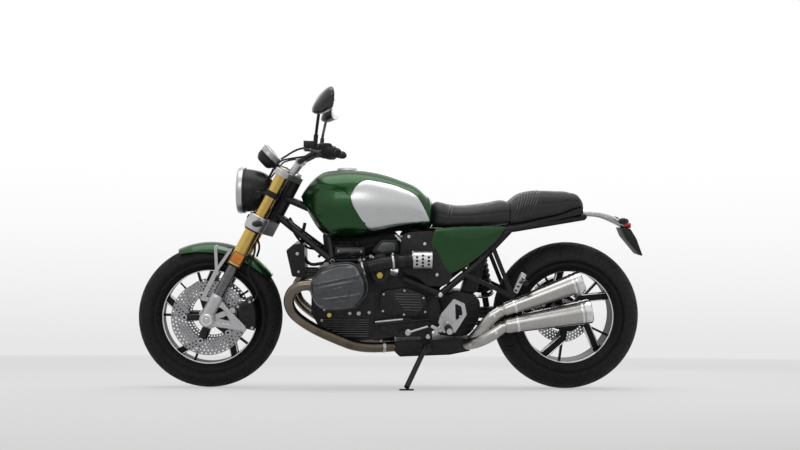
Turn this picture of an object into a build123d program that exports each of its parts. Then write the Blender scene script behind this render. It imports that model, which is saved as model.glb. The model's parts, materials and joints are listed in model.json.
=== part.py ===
from build123d import *
from math import atan2, cos, degrees, hypot, radians, sin, sqrt
import os

# A standard motorcycle with a flat twin engine, in millimetres.
# It is drawn upright with +X forward, +Y to the rider's left and +Z up, over the rear tyre's foot
# on the ground, and set down at the end leaning on its side stand.

# Stance
wheelbase = 1511
front_radius = 300
rear_radius = 315
lean = 9
clearance = 0.3

# Tyres and wheels
front_crown = 62
rear_crown = 95
front_width = 120
rear_width = 180
tyre_wall = 9
bead_radius = 219
bead_height = 14
flange_radius = 229
rim_inner_radius = 194.5
front_rim_width = 104
rear_rim_width = 156
spoke_count = 5
spoke_width = 32
spoke_depth = 26
thin_spoke_width = 9
spoke_kink = 21
bolt_circle = 100
boss_radius = 13
front_first_spoke = 166
rear_first_spoke = 154
front_hub_radius = 36
front_hub_length = 96
rear_hub_radius = 62
rear_hub_low = -70
rear_hub_high = 64
stub_radius = 28
axle_radius = 12
axle_reach = 136

# Steering head and fork
rake = 27
stem_offset = 43.5
leg_lead = 7
leg_spread = 210
tube_radius = 25
lower_tube_radius = 30
stanchion_radius = 21.5
tube_bottom = 252
foot_top = 95
foot_bottom = -8
foot_radius = 27
clamp_wall = 8
lower_clamp_bottom = 415
lower_clamp_height = 62
upper_clamp_bottom = 664
upper_clamp_height = 26
fork_top = 696
stem_radius = 15
stem_nut_radius = 17
stem_nut_height = 12
head_radius = 30
bearing_gap = 0.5

# Brakes
front_disc_radius = 155
front_disc_inner = 88
front_disc_spread = 140
disc_thickness = 5
disc_hole = 3.5
rear_disc_radius = 132
rear_disc_inner = 82
rear_disc_y = -90
caliper_angles = (152, 196)
rear_caliper_angles = (40, 84)
rear_caliper_width = 52
caliper_inner = 120
caliper_outer = 196
caliper_width = 62
caliper_gap = 5
caliper_arm_angles = (160, 192)
arm_width = 22

# Handlebar
bar_radius = 11
bar_half_width = 410
bar_end_x = 976
bar_end_z = 993
bar_bend_x = 1057
bar_bend_y = 195
bar_bend_z = 1006
bar_clamp_x = 1143
bar_clamp_z = 957
bar_bend_radius = 40
riser_spread = 100
riser_radius = 15
riser_width = 34
riser_ahead = 22
grip_inset = 8
grip_radius = 16.5
grip_length = 122
bar_weight = 14
switch_width = 42
switch_height = 60
switch_depth = 44
pump_ahead = 62
pump_rise = 8
pump_radius = 12
reservoir_length = 46
reservoir_width = 34
reservoir_height = 26
lever_radius = 6
lever_gap = 62
hose_radius = 4.5
hose_block = 16

# Mirrors
mirror_x = 1008
mirror_y = 390
mirror_low = 1152
mirror_height = 98
mirror_width = 140
mirror_corner = 36
mirror_bulge = 62
mirror_turn = 10
mirror_stem_radius = 6

# Lamps and dial
lamp_radius = 95
lamp_z = 832
lamp_front = 1403
lamp_depth = 140
lamp_rim_depth = 27
lamp_dome = 14
dish_depth = 72
lamp_ear = 12
lamp_bracket_height = 580
dial_radius = 44
dial_depth = 59
dial_tilt = 46
dial_x = 1263
dial_z = 988
indicator_height = 446

# Front mudguard
fender_start = 64
fender_arc = 82
fender_wrap = 62
fender_crown = 75
fender_wall = 4
crescent_radius = 392
crescent_shift = 122
stay_y = 82
stay_inner = 44
stay_wall = 7
stay_width = 18
stay_foot = (88, 76)
stay_fork = (203, 99)
stay_ahead = (300, 95)
stay_behind = (297, 107)

# Frame
engine_mount = (1000, 118, 548)
rear_mount = (552, 140, 415)
frame_radius = 14
buffer_radius = 8
buffer_y = 88
buffers = [(380, 691.4), (120, 732)]
spar_y = 50
spar_bend_x = 1030
spar_bend_z = 730
spar_end_x = 600
spar_end_z = 668
spar_joint = 6
rail_y = 98
rail_bend_x = 470
rail_bend_z = 664
rail_shock_z = 666
rail_mid_x = 240
rail_mid_z = 690
rail_end_x = -62
rail_end_z = 742
rail_join_x = 262
rail_join_z = 682
brace_x = 400
brace_y = 128
brace_z = 540
brace_front_x = 707
brace_front_z = 481

# Engine
crank_z = 440
cylinder_x = 960
case_half_width = 108
case_corner = 22
gear_cover_wall = 14
gear_cover = [(606, 345), (735, 338), (745, 400), (690, 440), (612, 408)]
barrel_radius = 60
barrel_length = 92
fin_radius = 82
fin_count = 7
fin_wall = 3.5
head_length = 70
cover_outline = [
    (1080, 470), (1060, 508), (985, 549), (912, 556), (870, 512), (849, 470), (850, 432), (899, 370),
    (961, 362), (1030, 366), (1066, 400)]
cover_corner = 16
cover_flange = 12
cover_depth = 60
cover_taper = 14
rib_count = 5
rib_pitch = 17
rib_width = 8
rib_height = 3
rib_length = 150
rib_x = 960
rib_z = 458
engine_outline = [
    (1085, 400), (1062, 515), (1000, 530), (860, 560), (790, 500), (640, 462), (560, 396),
    (532, 300), (600, 236), (735, 232), (960, 205), (1040, 250), (1085, 330)]

# Oil cooler and intake
cooler_half = 105
cooler_mount_x = 1114
cooler_mount_z = 496
cooler_outline = [(1192, 588), (1160, 614), (1118, 617), (1112, 474), (1166, 480)]
airbox_half = 110
airbox_outline = [(722, 645), (584, 645), (492, 512), (533, 446), (640, 455), (722, 476)]
lid_half = 148
lid_outline = [(716, 640), (600, 640), (566, 590), (566, 510), (716, 510)]
intake_x = 800
intake_y = 198
intake_z = 545
intake_radius = 27
sleeve_x = 590
sleeve_z = 560
sleeve_length = 78
sleeve_radius = 36

# Tank, seats and covers, as sections of x, half width, lowest, highest and corner radius
tank_sections = [
    (1134, 40, 795, 824, 14), (1120, 62, 768, 845, 30), (1095, 92, 728, 876, 56),
    (1045, 134, 662, 911, 92), (970, 160, 633, 925, 108), (870, 163, 636, 924, 110),
    (760, 152, 660, 904, 98), (660, 134, 679, 864, 76), (610, 117, 686, 831, 56), (592, 98, 694, 806, 40)]
tunnel_half = 108
nose_half = 62
tunnel_outline = [(1062, 560), (1062, 790), (560, 706), (560, 560)]
nose_outline = [(1170, 560), (1170, 812), (1060, 790), (1060, 560)]
cap_x = 945
cap_z = 918
cap_lean = 0.0
cap_radius = 38
cap_height = 10
rider_sections = [
    (590, 96, 694, 768, 30), (560, 112, 690, 795, 40), (470, 124, 690, 782, 40),
    (380, 124, 692, 788, 40), (262, 112, 704, 800, 40)]
pillion_sections = [
    (258, 108, 708, 806, 40), (214, 106, 716, 834, 42), (160, 104, 724, 846, 44),
    (0, 98, 760, 846, 38), (-56, 84, 778, 812, 15)]
cover_half_width = 152
cover_wall = 5
peg_hook_x = 430
peg_hook_z = 668
side_cover_outline = [
    (576, 676), (290, 690), (327, 632), (389, 577), (451, 531), (513, 501), (551, 551), (596, 625)]

# Tail
tail_sections = [
    (-74, 40, 736, 762, 10), (-136, 40, 730, 760, 12), (-200, 38, 702, 736, 12), (-244, 34, 684, 712, 10)]
plate_half = 60
plate_outline = [(-226, 690), (-246, 690), (-262, 694), (-290, 651), (-318, 578), (-308, 580), (-240, 655)]
lamp_face_x = -270
tail_lamp_z = 706.3
tail_lamp_width = 80
tail_lamp_height = 24
tail_lamp_depth = 25.7
indicator_x = -222
indicator_y = 37
indicator_z = 712

# Exhaust, on both sides and with the silencers on the left
header_radius = 20
header_points = [
    (1042.3, 236, 452), (1176, 214, 452), (1176, 200, 320), (960, 150, 196), (728, 70, 188)]
collector_half = 96
collector_outline = [(736, 214), (736, 168), (714, 147), (505, 156), (417, 174), (412, 224)]
collector_outlet = (420, 82, 206)
silencer_y = 152
silencer_runs = [
    ((276, 152, 357), (-40, 152, 477), 27, 45), ((265, 152, 290), (-80, 152, 352), 32, 49)]
link_radius = 24

# Rear wheel carrier
swing_x = 500
swing_z = 300
swing_inner = 96
swing_outer = 140
swing_bend_x = 380
swing_bend_z = 305
swing_radius = 26
swing_pivot_half = 92
lug_y = 62
lug_wall = 24
pivot_radius = 20
axle_bore = 14
axle_bore_depth = 60
drive_inner = -97
drive_outer = -168
drive_radius = 78
torque_front = (548, -124, 268)
torque_back = (44, -132, 246)
torque_radius = 11
shock_top = (400, -40, 666)
shock_bottom = (330, -116, 336)
shock_radius = 14
spring_radius = 32

# Footrests
plate_y = 176
peg_x = 520
peg_z = 282
peg_length = 112
peg_radius = 12
heel_outline = [(497, 402), (452, 382), (443, 337), (475, 285), (490, 262), (540, 262), (560, 305), (548, 340)]
heel_window = [(492, 384), (466, 370), (460, 338), (488, 308)]
stay_x = 547
stay_z = 318
stay_radius = 9
pillion_y = 151
pillion_x = 208
pillion_z = 476
pillion_struts = [((449, 500), (250, 410)), ((250, 410), (332, 606)), ((250, 410), (208, 476))]

# Side stand
stand_pivot = (600, 140, 200)
stand_foot_x = 690
stand_reach = 292
stand_folded = (-0.94, 0.32, 0.02)
stand_radius = 11
stand_eye = 26
stand_eye_radius = 15
stand_pin = 6
bracket_wall = 20
bracket_outline = [(650, 300), (585, 300), (578, 176), (612, 170)]

os.makedirs("parts", exist_ok=True)

# Derived places
turn = radians(rake)
fork_axis = Vector(-sin(turn), 0, cos(turn))
fork_ahead = Vector(cos(turn), 0, sin(turn))
front_axle_point = Vector(wheelbase, 0, front_radius)
rear_axle_point = Vector(0, 0, rear_radius)
leg_half = leg_spread / 2
leg_spots = [(leg_lead, leg_half), (leg_lead, -leg_half)]
upper_clamp_top = upper_clamp_bottom + upper_clamp_height
lower_clamp_top = lower_clamp_bottom + lower_clamp_height
front_disc_y = front_disc_spread / 2
pieces = []


def keep(piece, name):
    piece.part.label = name
    pieces.append(piece.part)


def fork(height):
    """The plane square to the fork at a height above the axle, its x ahead and its y to the left."""
    return Plane(origin=front_axle_point + fork_axis * height, x_dir=fork_ahead, z_dir=fork_axis)


def fork_point(height, ahead, side):
    return front_axle_point + fork_axis * height + fork_ahead * ahead + Vector(0, side, 0)


def side(y):
    """An upright plane at one distance from the middle, its x forward and its y up."""
    return Plane(origin=(0, y, 0), x_dir=(1, 0, 0), z_dir=(0, -1, 0))


def across(x):
    """An upright plane across the motorcycle, its x to the left and its y up."""
    return Plane(origin=(x, 0, 0), x_dir=(0, 1, 0), z_dir=(1, 0, 0))


def wheel(centre, y):
    """The upright plane through a wheel at one distance from the middle."""
    return Plane(origin=(centre.X, y, centre.Z), x_dir=(1, 0, 0), z_dir=(0, -1, 0))


def flip(point):
    return (point[0], -point[1], point[2])


def rod(start, end, radius, mode=Mode.ADD):
    """A round bar between two points."""
    line = Vector(*end) - Vector(*start)
    with BuildSketch(Plane(origin=start, z_dir=line)) as section:
        Circle(radius)
    extrude(section.sketch, amount=line.length, mode=mode)


def tube(points, radius, bend):
    """A round tube through points, with one bend radius."""
    with BuildLine() as path:
        FilletPolyline(*points, radius=bend)
    with BuildSketch(Plane(origin=path.line @ 0, z_dir=path.line % 0)) as section:
        Circle(radius)
    sweep(section.sketch, path=path.line)


def strip(start, end, width):
    """A flat link with round ends in the current sketch."""
    reach = hypot(end[0] - start[0], end[1] - start[1])
    middle = ((start[0] + end[0]) / 2, (start[1] + end[1]) / 2)
    with Locations(middle):
        SlotCenterToCenter(reach, width, rotation=degrees(atan2(end[1] - start[1], end[0] - start[0])))


def slab(outline, y, thickness, corner, mode=Mode.ADD):
    """A plate of one outline with rounded corners, from y towards the right."""
    with BuildSketch(side(y)) as section:
        with BuildLine():
            Polyline(*outline, close=True)
        make_face()
        if corner:
            fillet(section.vertices(), corner)
    extrude(section.sketch, amount=thickness, mode=mode)


def shell_loft(sections):
    """A closed body through rounded sections of x, half width, lowest, highest and corner radius."""
    faces = []
    for x, half, low, high, corner in sections:
        with BuildSketch(across(x)) as section:
            with Locations((0, (low + high) / 2)):
                RectangleRounded(2 * half, high - low, corner)
        faces.append(section.sketch)
    loft(faces)


def polar(radius, angle):
    return (radius * cos(radians(angle)), radius * sin(radians(angle)))


def polar_point(radius, angle, y):
    return (radius * cos(radians(angle)), y, radius * sin(radians(angle)))


# Wheels


def make_tyre(name, centre, radius, crown, width, rim_width):
    middle = radius - crown
    wide = width / 2
    shoulder = middle + sqrt(crown**2 - wide**2)
    bead = rim_width / 2 - 10
    inner_crown = crown - tyre_wall
    inner_wide = wide - 1.5 * tyre_wall
    lip = bead_radius + bead_height
    inner_shoulder = middle + sqrt(inner_crown**2 - inner_wide**2)
    with BuildPart() as tyre:
        with BuildSketch(Plane(origin=centre, x_dir=(0, 1, 0), z_dir=(1, 0, 0))):
            with BuildLine():
                ThreePointArc((-wide, shoulder), (0, radius), (wide, shoulder))
                Polyline(
                    (wide, shoulder), (bead, lip), (bead, bead_radius), (bead - tyre_wall, bead_radius),
                    (bead - tyre_wall, lip), (inner_wide, inner_shoulder))
                ThreePointArc(
                    (inner_wide, inner_shoulder), (0, radius - tyre_wall), (-inner_wide, inner_shoulder))
                Polyline(
                    (-inner_wide, inner_shoulder), (tyre_wall - bead, lip), (tyre_wall - bead, bead_radius),
                    (-bead, bead_radius), (-bead, lip), (-wide, shoulder))
            make_face()
        revolve(axis=Axis(centre, (0, 1, 0)))
    keep(tyre, name)


def make_rim(name, centre, rim_width, hub, bore, first, bosses):
    """A cast wheel: the rim, a hub and spokes that fork into a thick and a thin branch."""
    half = rim_width / 2
    seat = bead_radius - clearance
    hub_radius, hub_low, hub_high = hub
    with BuildPart() as rim:
        with BuildSketch(Plane(origin=centre, x_dir=(0, 1, 0), z_dir=(1, 0, 0))):
            with BuildLine():
                Polyline(
                    (-half, flange_radius), (6 - half, flange_radius), (9 - half, seat), (26 - half, seat),
                    (38 - half, seat - 10), (half - 38, seat - 10), (half - 26, seat), (half - 9, seat),
                    (half - 6, flange_radius), (half, flange_radius), (half, flange_radius - 9),
                    (half - 20, rim_inner_radius), (20 - half, rim_inner_radius), (-half, flange_radius - 9),
                    close=True)
            make_face()
        revolve(axis=Axis(centre, (0, 1, 0)))
        with BuildSketch(wheel(centre, hub_high)):
            Circle(hub_radius)
        extrude(amount=hub_high - hub_low)
        for k in range(spoke_count):
            outer = first + k * 360 / spoke_count
            inner = outer - spoke_kink
            knee = polar(bolt_circle, inner)
            with BuildSketch(wheel(centre, spoke_depth / 2)):
                strip(polar(hub_radius - 14, inner), knee, spoke_width)
                strip(knee, polar(rim_inner_radius + 2, outer), spoke_width)
            extrude(amount=spoke_depth)
            with BuildSketch(wheel(centre, thin_spoke_width)):
                strip(knee, polar(rim_inner_radius + 4, inner), thin_spoke_width)
            extrude(amount=2 * thin_spoke_width)
            for boss_end in bosses:
                with BuildSketch(wheel(centre, max(boss_end, 0))):
                    with Locations(knee):
                        Circle(boss_radius)
                extrude(amount=abs(boss_end))
        with BuildSketch(wheel(centre, hub_high + 1)):
            Circle(bore)
        extrude(amount=hub_high - hub_low + 2, mode=Mode.SUBTRACT)
    keep(rim, name)


make_tyre("front_tyre", front_axle_point, front_radius, front_crown, front_width, front_rim_width)
make_tyre("rear_tyre", rear_axle_point, rear_radius, rear_crown, rear_width, rear_rim_width)
front_hub = (front_hub_radius, -front_hub_length / 2, front_hub_length / 2)
disc_seat = front_disc_y - disc_thickness / 2 - clearance
make_rim(
    "front_rim", front_axle_point, front_rim_width, front_hub, axle_radius + clearance,
    front_first_spoke, [disc_seat, -disc_seat])
rear_hub = (rear_hub_radius, rear_hub_low, rear_hub_high)
make_rim(
    "rear_rim", rear_axle_point, rear_rim_width, rear_hub, stub_radius + clearance, rear_first_spoke,
    [rear_disc_y + disc_thickness / 2 + clearance])


def disc_face(outer, inner, rings):
    """One drilled brake disc with ears that reach in to the bolts."""
    Circle(outer)
    Circle(inner, mode=Mode.SUBTRACT)
    for ring_radius, count in rings:
        with PolarLocations(ring_radius, count):
            Circle(disc_hole, mode=Mode.SUBTRACT)


with BuildPart() as front_discs:
    for y in (front_disc_y, -front_disc_y):
        with BuildSketch(wheel(front_axle_point, y + disc_thickness / 2)):
            disc_face(front_disc_radius, front_disc_inner, [(front_disc_radius - 12, 30)])
        extrude(amount=disc_thickness)
keep(front_discs, "front_discs")

with BuildPart() as rear_disc:
    with BuildSketch(wheel(rear_axle_point, rear_disc_y + disc_thickness / 2)):
        disc_face(rear_disc_radius, rear_disc_inner, [(rear_disc_radius - 12, 26)])
    extrude(amount=disc_thickness)
keep(rear_disc, "rear_disc")

# Fork, which steers

with BuildPart() as fork_tubes:
    with BuildSketch(fork(tube_bottom)):
        with Locations(*leg_spots):
            Circle(lower_tube_radius)
    extrude(amount=lower_clamp_top + clearance - tube_bottom)
    with BuildSketch(fork(lower_clamp_top + clearance)):
        with Locations(*leg_spots):
            Circle(tube_radius)
    extrude(amount=fork_top - lower_clamp_top - clearance)
keep(fork_tubes, "fork_tubes")

with BuildPart() as fork_stanchions:
    with BuildSketch(fork(foot_top)):
        with Locations(*leg_spots):
            Circle(stanchion_radius)
    extrude(amount=tube_bottom - foot_top)
keep(fork_stanchions, "fork_stanchions")

with BuildPart() as fork_feet:
    with BuildSketch(fork(foot_bottom)):
        with Locations(*leg_spots):
            Circle(foot_radius)
    extrude(amount=foot_top - foot_bottom)
    for sign in (1, -1):
        with BuildSketch(wheel(front_axle_point, sign * leg_half + foot_radius)):
            Circle(foot_radius - 2)
        extrude(amount=2 * foot_radius)
        with BuildSketch(wheel(front_axle_point, sign * leg_half + arm_width / 2 - sign * 10)):
            for angle in caliper_arm_angles:
                strip(polar(12, 180), polar(caliper_inner - clearance - arm_width / 2, angle), arm_width)
        extrude(amount=arm_width)
        with BuildSketch(wheel(front_axle_point, sign * leg_half - sign * 12 + 7)):
            strip((-30, 74), polar(*stay_foot), stay_width)
        extrude(amount=14)
    with BuildSketch(wheel(front_axle_point, leg_half + foot_radius + 1)):
        Circle(axle_radius + clearance)
    extrude(amount=leg_spread + 2 * foot_radius + 2, mode=Mode.SUBTRACT)
keep(fork_feet, "fork_feet")

with BuildPart() as front_axle:
    with BuildSketch(wheel(front_axle_point, axle_reach)):
        Circle(axle_radius)
    extrude(amount=2 * axle_reach)
keep(front_axle, "front_axle")

with BuildPart() as front_calipers:
    for sign in (1, -1):
        near = sign * front_disc_y + caliper_width / 2
        with BuildSketch(wheel(front_axle_point, near)):
            with BuildLine():
                low, high = caliper_angles
                outer = CenterArc((0, 0), caliper_outer, low, high - low)
                inner = CenterArc((0, 0), caliper_inner, low, high - low)
                Line(outer @ 0, inner @ 0)
                Line(outer @ 1, inner @ 1)
            make_face()
        extrude(amount=caliper_width)
        with BuildSketch(wheel(front_axle_point, sign * front_disc_y + disc_thickness / 2 + caliper_gap)):
            Circle(front_disc_radius + caliper_gap)
        extrude(amount=disc_thickness + 2 * caliper_gap, mode=Mode.SUBTRACT)
keep(front_calipers, "front_calipers")

with BuildPart() as yokes:
    with BuildSketch(fork(lower_clamp_bottom)):
        with Locations(*leg_spots):
            Circle(lower_tube_radius + clamp_wall)
        with Locations((-stem_offset, 0)):
            Circle(head_radius)
        make_hull()
        with Locations(*leg_spots):
            Circle(lower_tube_radius + clearance, mode=Mode.SUBTRACT)
    extrude(amount=lower_clamp_height)
    with BuildSketch(fork(upper_clamp_bottom)):
        with Locations(*leg_spots):
            Circle(tube_radius + clamp_wall)
        with Locations((-stem_offset, 0)):
            Circle(head_radius)
        make_hull()
        with Locations(*leg_spots):
            Circle(tube_radius + clearance, mode=Mode.SUBTRACT)
    extrude(amount=upper_clamp_height)
    with BuildSketch(fork(lower_clamp_top)):
        with Locations((-stem_offset, 0)):
            Circle(stem_radius)
    extrude(amount=upper_clamp_bottom - lower_clamp_top)
    with BuildSketch(fork(upper_clamp_top)):
        with Locations((-stem_offset, 0)):
            RegularPolygon(stem_nut_radius, 6)
    extrude(amount=stem_nut_height)
keep(yokes, "yokes")

bar_end = (bar_end_x, bar_half_width, bar_end_z)
bar_bend = (bar_bend_x, bar_bend_y, bar_bend_z)
bar_clamp = (bar_clamp_x, riser_spread / 2 + 42, bar_clamp_z)
bar_middle = (bar_clamp_x, (riser_spread - riser_width) / 2 - 2, bar_clamp_z)
grip_line = (Vector(*bar_bend) - Vector(*bar_end)).normalized()


def on_bar(inset, sign):
    """A point on the handlebar's outer stretch, measured in from its end."""
    point = Vector(*bar_end) + grip_line * inset
    return (point.X, sign * point.Y, point.Z)


with BuildPart() as handlebar:
    for sign in (1, -1):
        turned = [(x, sign * y, z) for x, y, z in (bar_end, bar_bend, bar_clamp, bar_middle)]
        tube(turned, bar_radius, bar_bend_radius)
    rod(bar_middle, flip(bar_middle), bar_radius)
keep(handlebar, "handlebar")

with BuildPart() as risers:
    for sign in (1, -1):
        foot = fork_point(upper_clamp_top, -stem_offset + riser_ahead, sign * riser_spread / 2)
        top = Vector(bar_clamp_x, sign * riser_spread / 2, bar_clamp_z)
        rod(foot, top, riser_radius)
        rod(top + Vector(0, riser_width / 2, 0), top - Vector(0, riser_width / 2, 0), bar_radius + clamp_wall)
        rod(
            top + Vector(0, riser_width, 0), top - Vector(0, riser_width, 0), bar_radius + clearance,
            mode=Mode.SUBTRACT)
    with BuildSketch(fork(upper_clamp_top)):
        Rectangle(leg_spread, leg_spread)
    extrude(amount=-3 * riser_radius, mode=Mode.SUBTRACT)
keep(risers, "risers")

with BuildPart() as grips:
    for sign in (1, -1):
        rod(on_bar(grip_inset, sign), on_bar(grip_inset + grip_length, sign), grip_radius)
        rod(
            on_bar(grip_inset - 5, sign), on_bar(grip_inset + grip_length + 5, sign), bar_radius + clearance,
            mode=Mode.SUBTRACT)
        rod(on_bar(-clearance, sign), on_bar(-clearance - bar_weight, sign), grip_radius)
keep(grips, "grips")

with BuildPart() as controls:
    for sign in (1, -1):
        inner = grip_inset + grip_length + clearance
        middle = Vector(*on_bar(inner + switch_width / 2, sign))
        outward = Vector(*on_bar(inner, sign)) - middle
        with BuildSketch(Plane(origin=on_bar(inner, sign), x_dir=(0, 0, 1), z_dir=-outward)):
            RectangleRounded(switch_height, switch_depth, switch_depth / 3)
        extrude(amount=switch_width)
        pump = middle + Vector(pump_ahead, 0, pump_rise)
        with BuildSketch(Plane(origin=pump, x_dir=(1, 0, 0), z_dir=(0, 0, 1))):
            RectangleRounded(reservoir_length, reservoir_width, 8)
        extrude(amount=reservoir_height)
        rod(middle, pump, pump_radius)
        pivot = pump + Vector(8, 0, -4)
        lever_tip = Vector(*on_bar(grip_inset - 4, sign)) + Vector(lever_gap, 0, 0)
        tube([tuple(pivot), tuple(pivot + (lever_tip - pivot) * 0.35 + Vector(10, 0, 0)), tuple(lever_tip)],
             lever_radius, 60)
        rod(
            on_bar(inner - 5, sign), on_bar(inner + switch_width + 5, sign), bar_radius + clearance,
            mode=Mode.SUBTRACT)
keep(controls, "controls")

with BuildPart() as mirrors:
    for sign in (1, -1):
        foot = Vector(*on_bar(grip_inset + grip_length + switch_width / 2, sign))
        foot = foot + Vector(pump_ahead - 14, 0, pump_rise + reservoir_height + clearance)
        knee = Vector(mirror_x + mirror_bulge - 8, sign * (mirror_y - 56), mirror_low - 30)
        head = Vector(mirror_x + mirror_bulge / 2, sign * (mirror_y - 30), mirror_low + 22)
        tube([tuple(foot), tuple(foot + Vector(0, 0, 50)), tuple(knee), tuple(head)], mirror_stem_radius, 20)
        swing = radians(mirror_turn)
        turned = Plane(
            origin=(mirror_x, sign * mirror_y, mirror_low + mirror_height / 2),
            x_dir=(-sign * sin(swing), cos(swing), 0), z_dir=(cos(swing), sign * sin(swing), 0))
        with BuildSketch(turned):
            RectangleRounded(mirror_width, mirror_height, mirror_corner)
        with BuildSketch(turned.offset(mirror_bulge)):
            with Locations((-sign * mirror_width * 0.18, -mirror_height * 0.22)):
                RectangleRounded(mirror_width * 0.36, mirror_height * 0.36, mirror_corner / 3)
        loft()
keep(mirrors, "mirrors")

lamp_plane = Plane(origin=(0, 0, lamp_z), x_dir=(1, 0, 0), z_dir=(0, -1, 0))
lamp_axis = Axis((0, 0, lamp_z), (1, 0, 0))
lamp_back = lamp_front - lamp_depth
with BuildPart() as headlamp_bowl:
    with BuildSketch(lamp_plane):
        with BuildLine():
            Line((lamp_back, 0), (lamp_back, lamp_radius * 0.4))
            Bezier(
                (lamp_back, lamp_radius * 0.4), (lamp_back + 4, lamp_radius * 0.86),
                (lamp_front - 60, lamp_radius - 6), (lamp_front - lamp_rim_depth, lamp_radius - 4))
            Polyline(
                (lamp_front - lamp_rim_depth, lamp_radius - 4), (lamp_front - lamp_rim_depth, 0), (lamp_back, 0))
        make_face()
    revolve(axis=lamp_axis)
    dish_front = lamp_front - lamp_rim_depth
    dish_edge = lamp_radius - 16
    with BuildSketch(lamp_plane):
        with BuildLine():
            Line((dish_front, 0), (dish_front, dish_edge))
            Bezier(
                (dish_front, dish_edge), (dish_front - 24, dish_edge - 6),
                (dish_front - dish_depth, dish_edge * 0.6), (dish_front - dish_depth, 0))
            Line((dish_front - dish_depth, 0), (dish_front, 0))
        make_face()
    revolve(axis=lamp_axis, mode=Mode.SUBTRACT)
    for sign in (1, -1):
        at = fork_point(lamp_bracket_height, leg_lead, sign * leg_half)
        rod(
            at + Vector(0, -sign * 2, 0),
            Vector(lamp_back + lamp_depth * 0.36, sign * lamp_radius * 0.62, lamp_z - lamp_ear), lamp_ear)
        with BuildSketch(fork(lamp_bracket_height - lamp_ear)):
            with Locations((leg_lead, sign * leg_half)):
                Circle(tube_radius + 6)
        extrude(amount=2 * lamp_ear)
        with BuildSketch(fork(lamp_bracket_height - 5 * lamp_ear)):
            with Locations((leg_lead, sign * leg_half)):
                Circle(tube_radius + clearance)
        extrude(amount=10 * lamp_ear, mode=Mode.SUBTRACT)
keep(headlamp_bowl, "headlamp_bowl")

with BuildPart() as headlamp_ring:
    with BuildSketch(lamp_plane):
        with BuildLine():
            Polyline(
                (lamp_front - lamp_rim_depth + clearance, lamp_radius - 14),
                (lamp_front - lamp_rim_depth + clearance, lamp_radius),
                (lamp_front - lamp_rim_depth / 2, lamp_radius), (lamp_front, lamp_radius - 7),
                (lamp_front, lamp_radius - 14), close=True)
        make_face()
    revolve(axis=lamp_axis)
keep(headlamp_ring, "headlamp_ring")

with BuildPart() as headlamp_glass:
    glass_edge = lamp_radius - 14 - clearance
    bulge = lamp_dome + 3
    dome_radius = (glass_edge**2 + bulge**2) / (2 * bulge)
    dome_drop = dome_radius - sqrt(dome_radius**2 - glass_edge**2 / 4)
    with BuildSketch(lamp_plane):
        with BuildLine():
            ThreePointArc(
                (lamp_front - 3, glass_edge), (lamp_front + lamp_dome - dome_drop, glass_edge / 2),
                (lamp_front + lamp_dome, 0))
            Polyline(
                (lamp_front + lamp_dome, 0), (lamp_front - 8, 0), (lamp_front - 8, glass_edge),
                (lamp_front - 3, glass_edge))
        make_face()
    revolve(axis=lamp_axis)
keep(headlamp_glass, "headlamp_glass")

dial_turn = radians(dial_tilt)
dial_axis = Vector(-sin(dial_turn), 0, cos(dial_turn))
dial_plane = Plane(origin=(dial_x, 0, dial_z), x_dir=(cos(dial_turn), 0, sin(dial_turn)), z_dir=dial_axis)
with BuildPart() as instrument:
    with BuildSketch(dial_plane):
        Circle(dial_radius)
    with BuildSketch(dial_plane.offset(-dial_depth * 0.62)):
        Circle(dial_radius)
    loft()
    with BuildSketch(dial_plane.offset(-dial_depth * 0.62)):
        Circle(dial_radius)
    with BuildSketch(dial_plane.offset(-dial_depth)):
        Circle(dial_radius * 0.62)
    loft()
    with BuildSketch(fork(upper_clamp_top + clearance)):
        with Locations((leg_lead, 0)):
            Rectangle(22, 60)
    extrude(amount=16)
    rod(fork_point(upper_clamp_top + 8, leg_lead, 0), Vector(dial_x, 0, dial_z) - dial_axis * (dial_depth - 4), 9)
    add(yokes.part, mode=Mode.SUBTRACT)
keep(instrument, "instrument")

# Front mudguard
fender_middle = front_radius - front_crown
start_ray = Vector(cos(radians(fender_start)), 0, sin(radians(fender_start)))
fender_plane = Plane(origin=front_axle_point, x_dir=start_ray, z_dir=start_ray.cross(Vector(0, 1, 0)))
crescent = fender_start + fender_arc / 2
with BuildPart() as front_fender:
    with BuildSketch(fender_plane):
        with BuildLine():
            outer = CenterArc((fender_middle, 0), fender_crown, -fender_wrap, 2 * fender_wrap)
            inner = CenterArc((fender_middle, 0), fender_crown - fender_wall, -fender_wrap, 2 * fender_wrap)
            Line(outer @ 0, inner @ 0)
            Line(outer @ 1, inner @ 1)
        make_face()
    revolve(axis=Axis(front_axle_point, (0, -1, 0)), revolution_arc=fender_arc)
    with BuildSketch(wheel(front_axle_point, front_width)):
        with Locations(polar(-crescent_shift, crescent)):
            Circle(crescent_radius)
    extrude(amount=2 * front_width, mode=Mode.SUBTRACT)
keep(front_fender, "front_fender")

with BuildPart() as fender_stays:
    for sign in (1, -1):
        with BuildSketch(wheel(front_axle_point, sign * stay_y + stay_wall / 2)):
            foot = polar(*stay_foot)
            fork_at = polar(*stay_fork)
            ahead = polar(*stay_ahead)
            behind = polar(*stay_behind)
            strip(foot, fork_at, stay_width)
            strip(fork_at, ahead, stay_width * 0.7)
            strip(fork_at, behind, stay_width * 0.7)
            strip(ahead, behind, stay_width * 0.6)
        extrude(amount=stay_wall)
        for spot in (ahead, behind):
            at = front_axle_point + Vector(spot[0], 0, spot[1])
            rod(at + Vector(0, sign * stay_y, 0), at + Vector(0, sign * stay_inner, 0), 5)
    add(front_fender.part, mode=Mode.SUBTRACT)
keep(fender_stays, "fender_stays")

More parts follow.
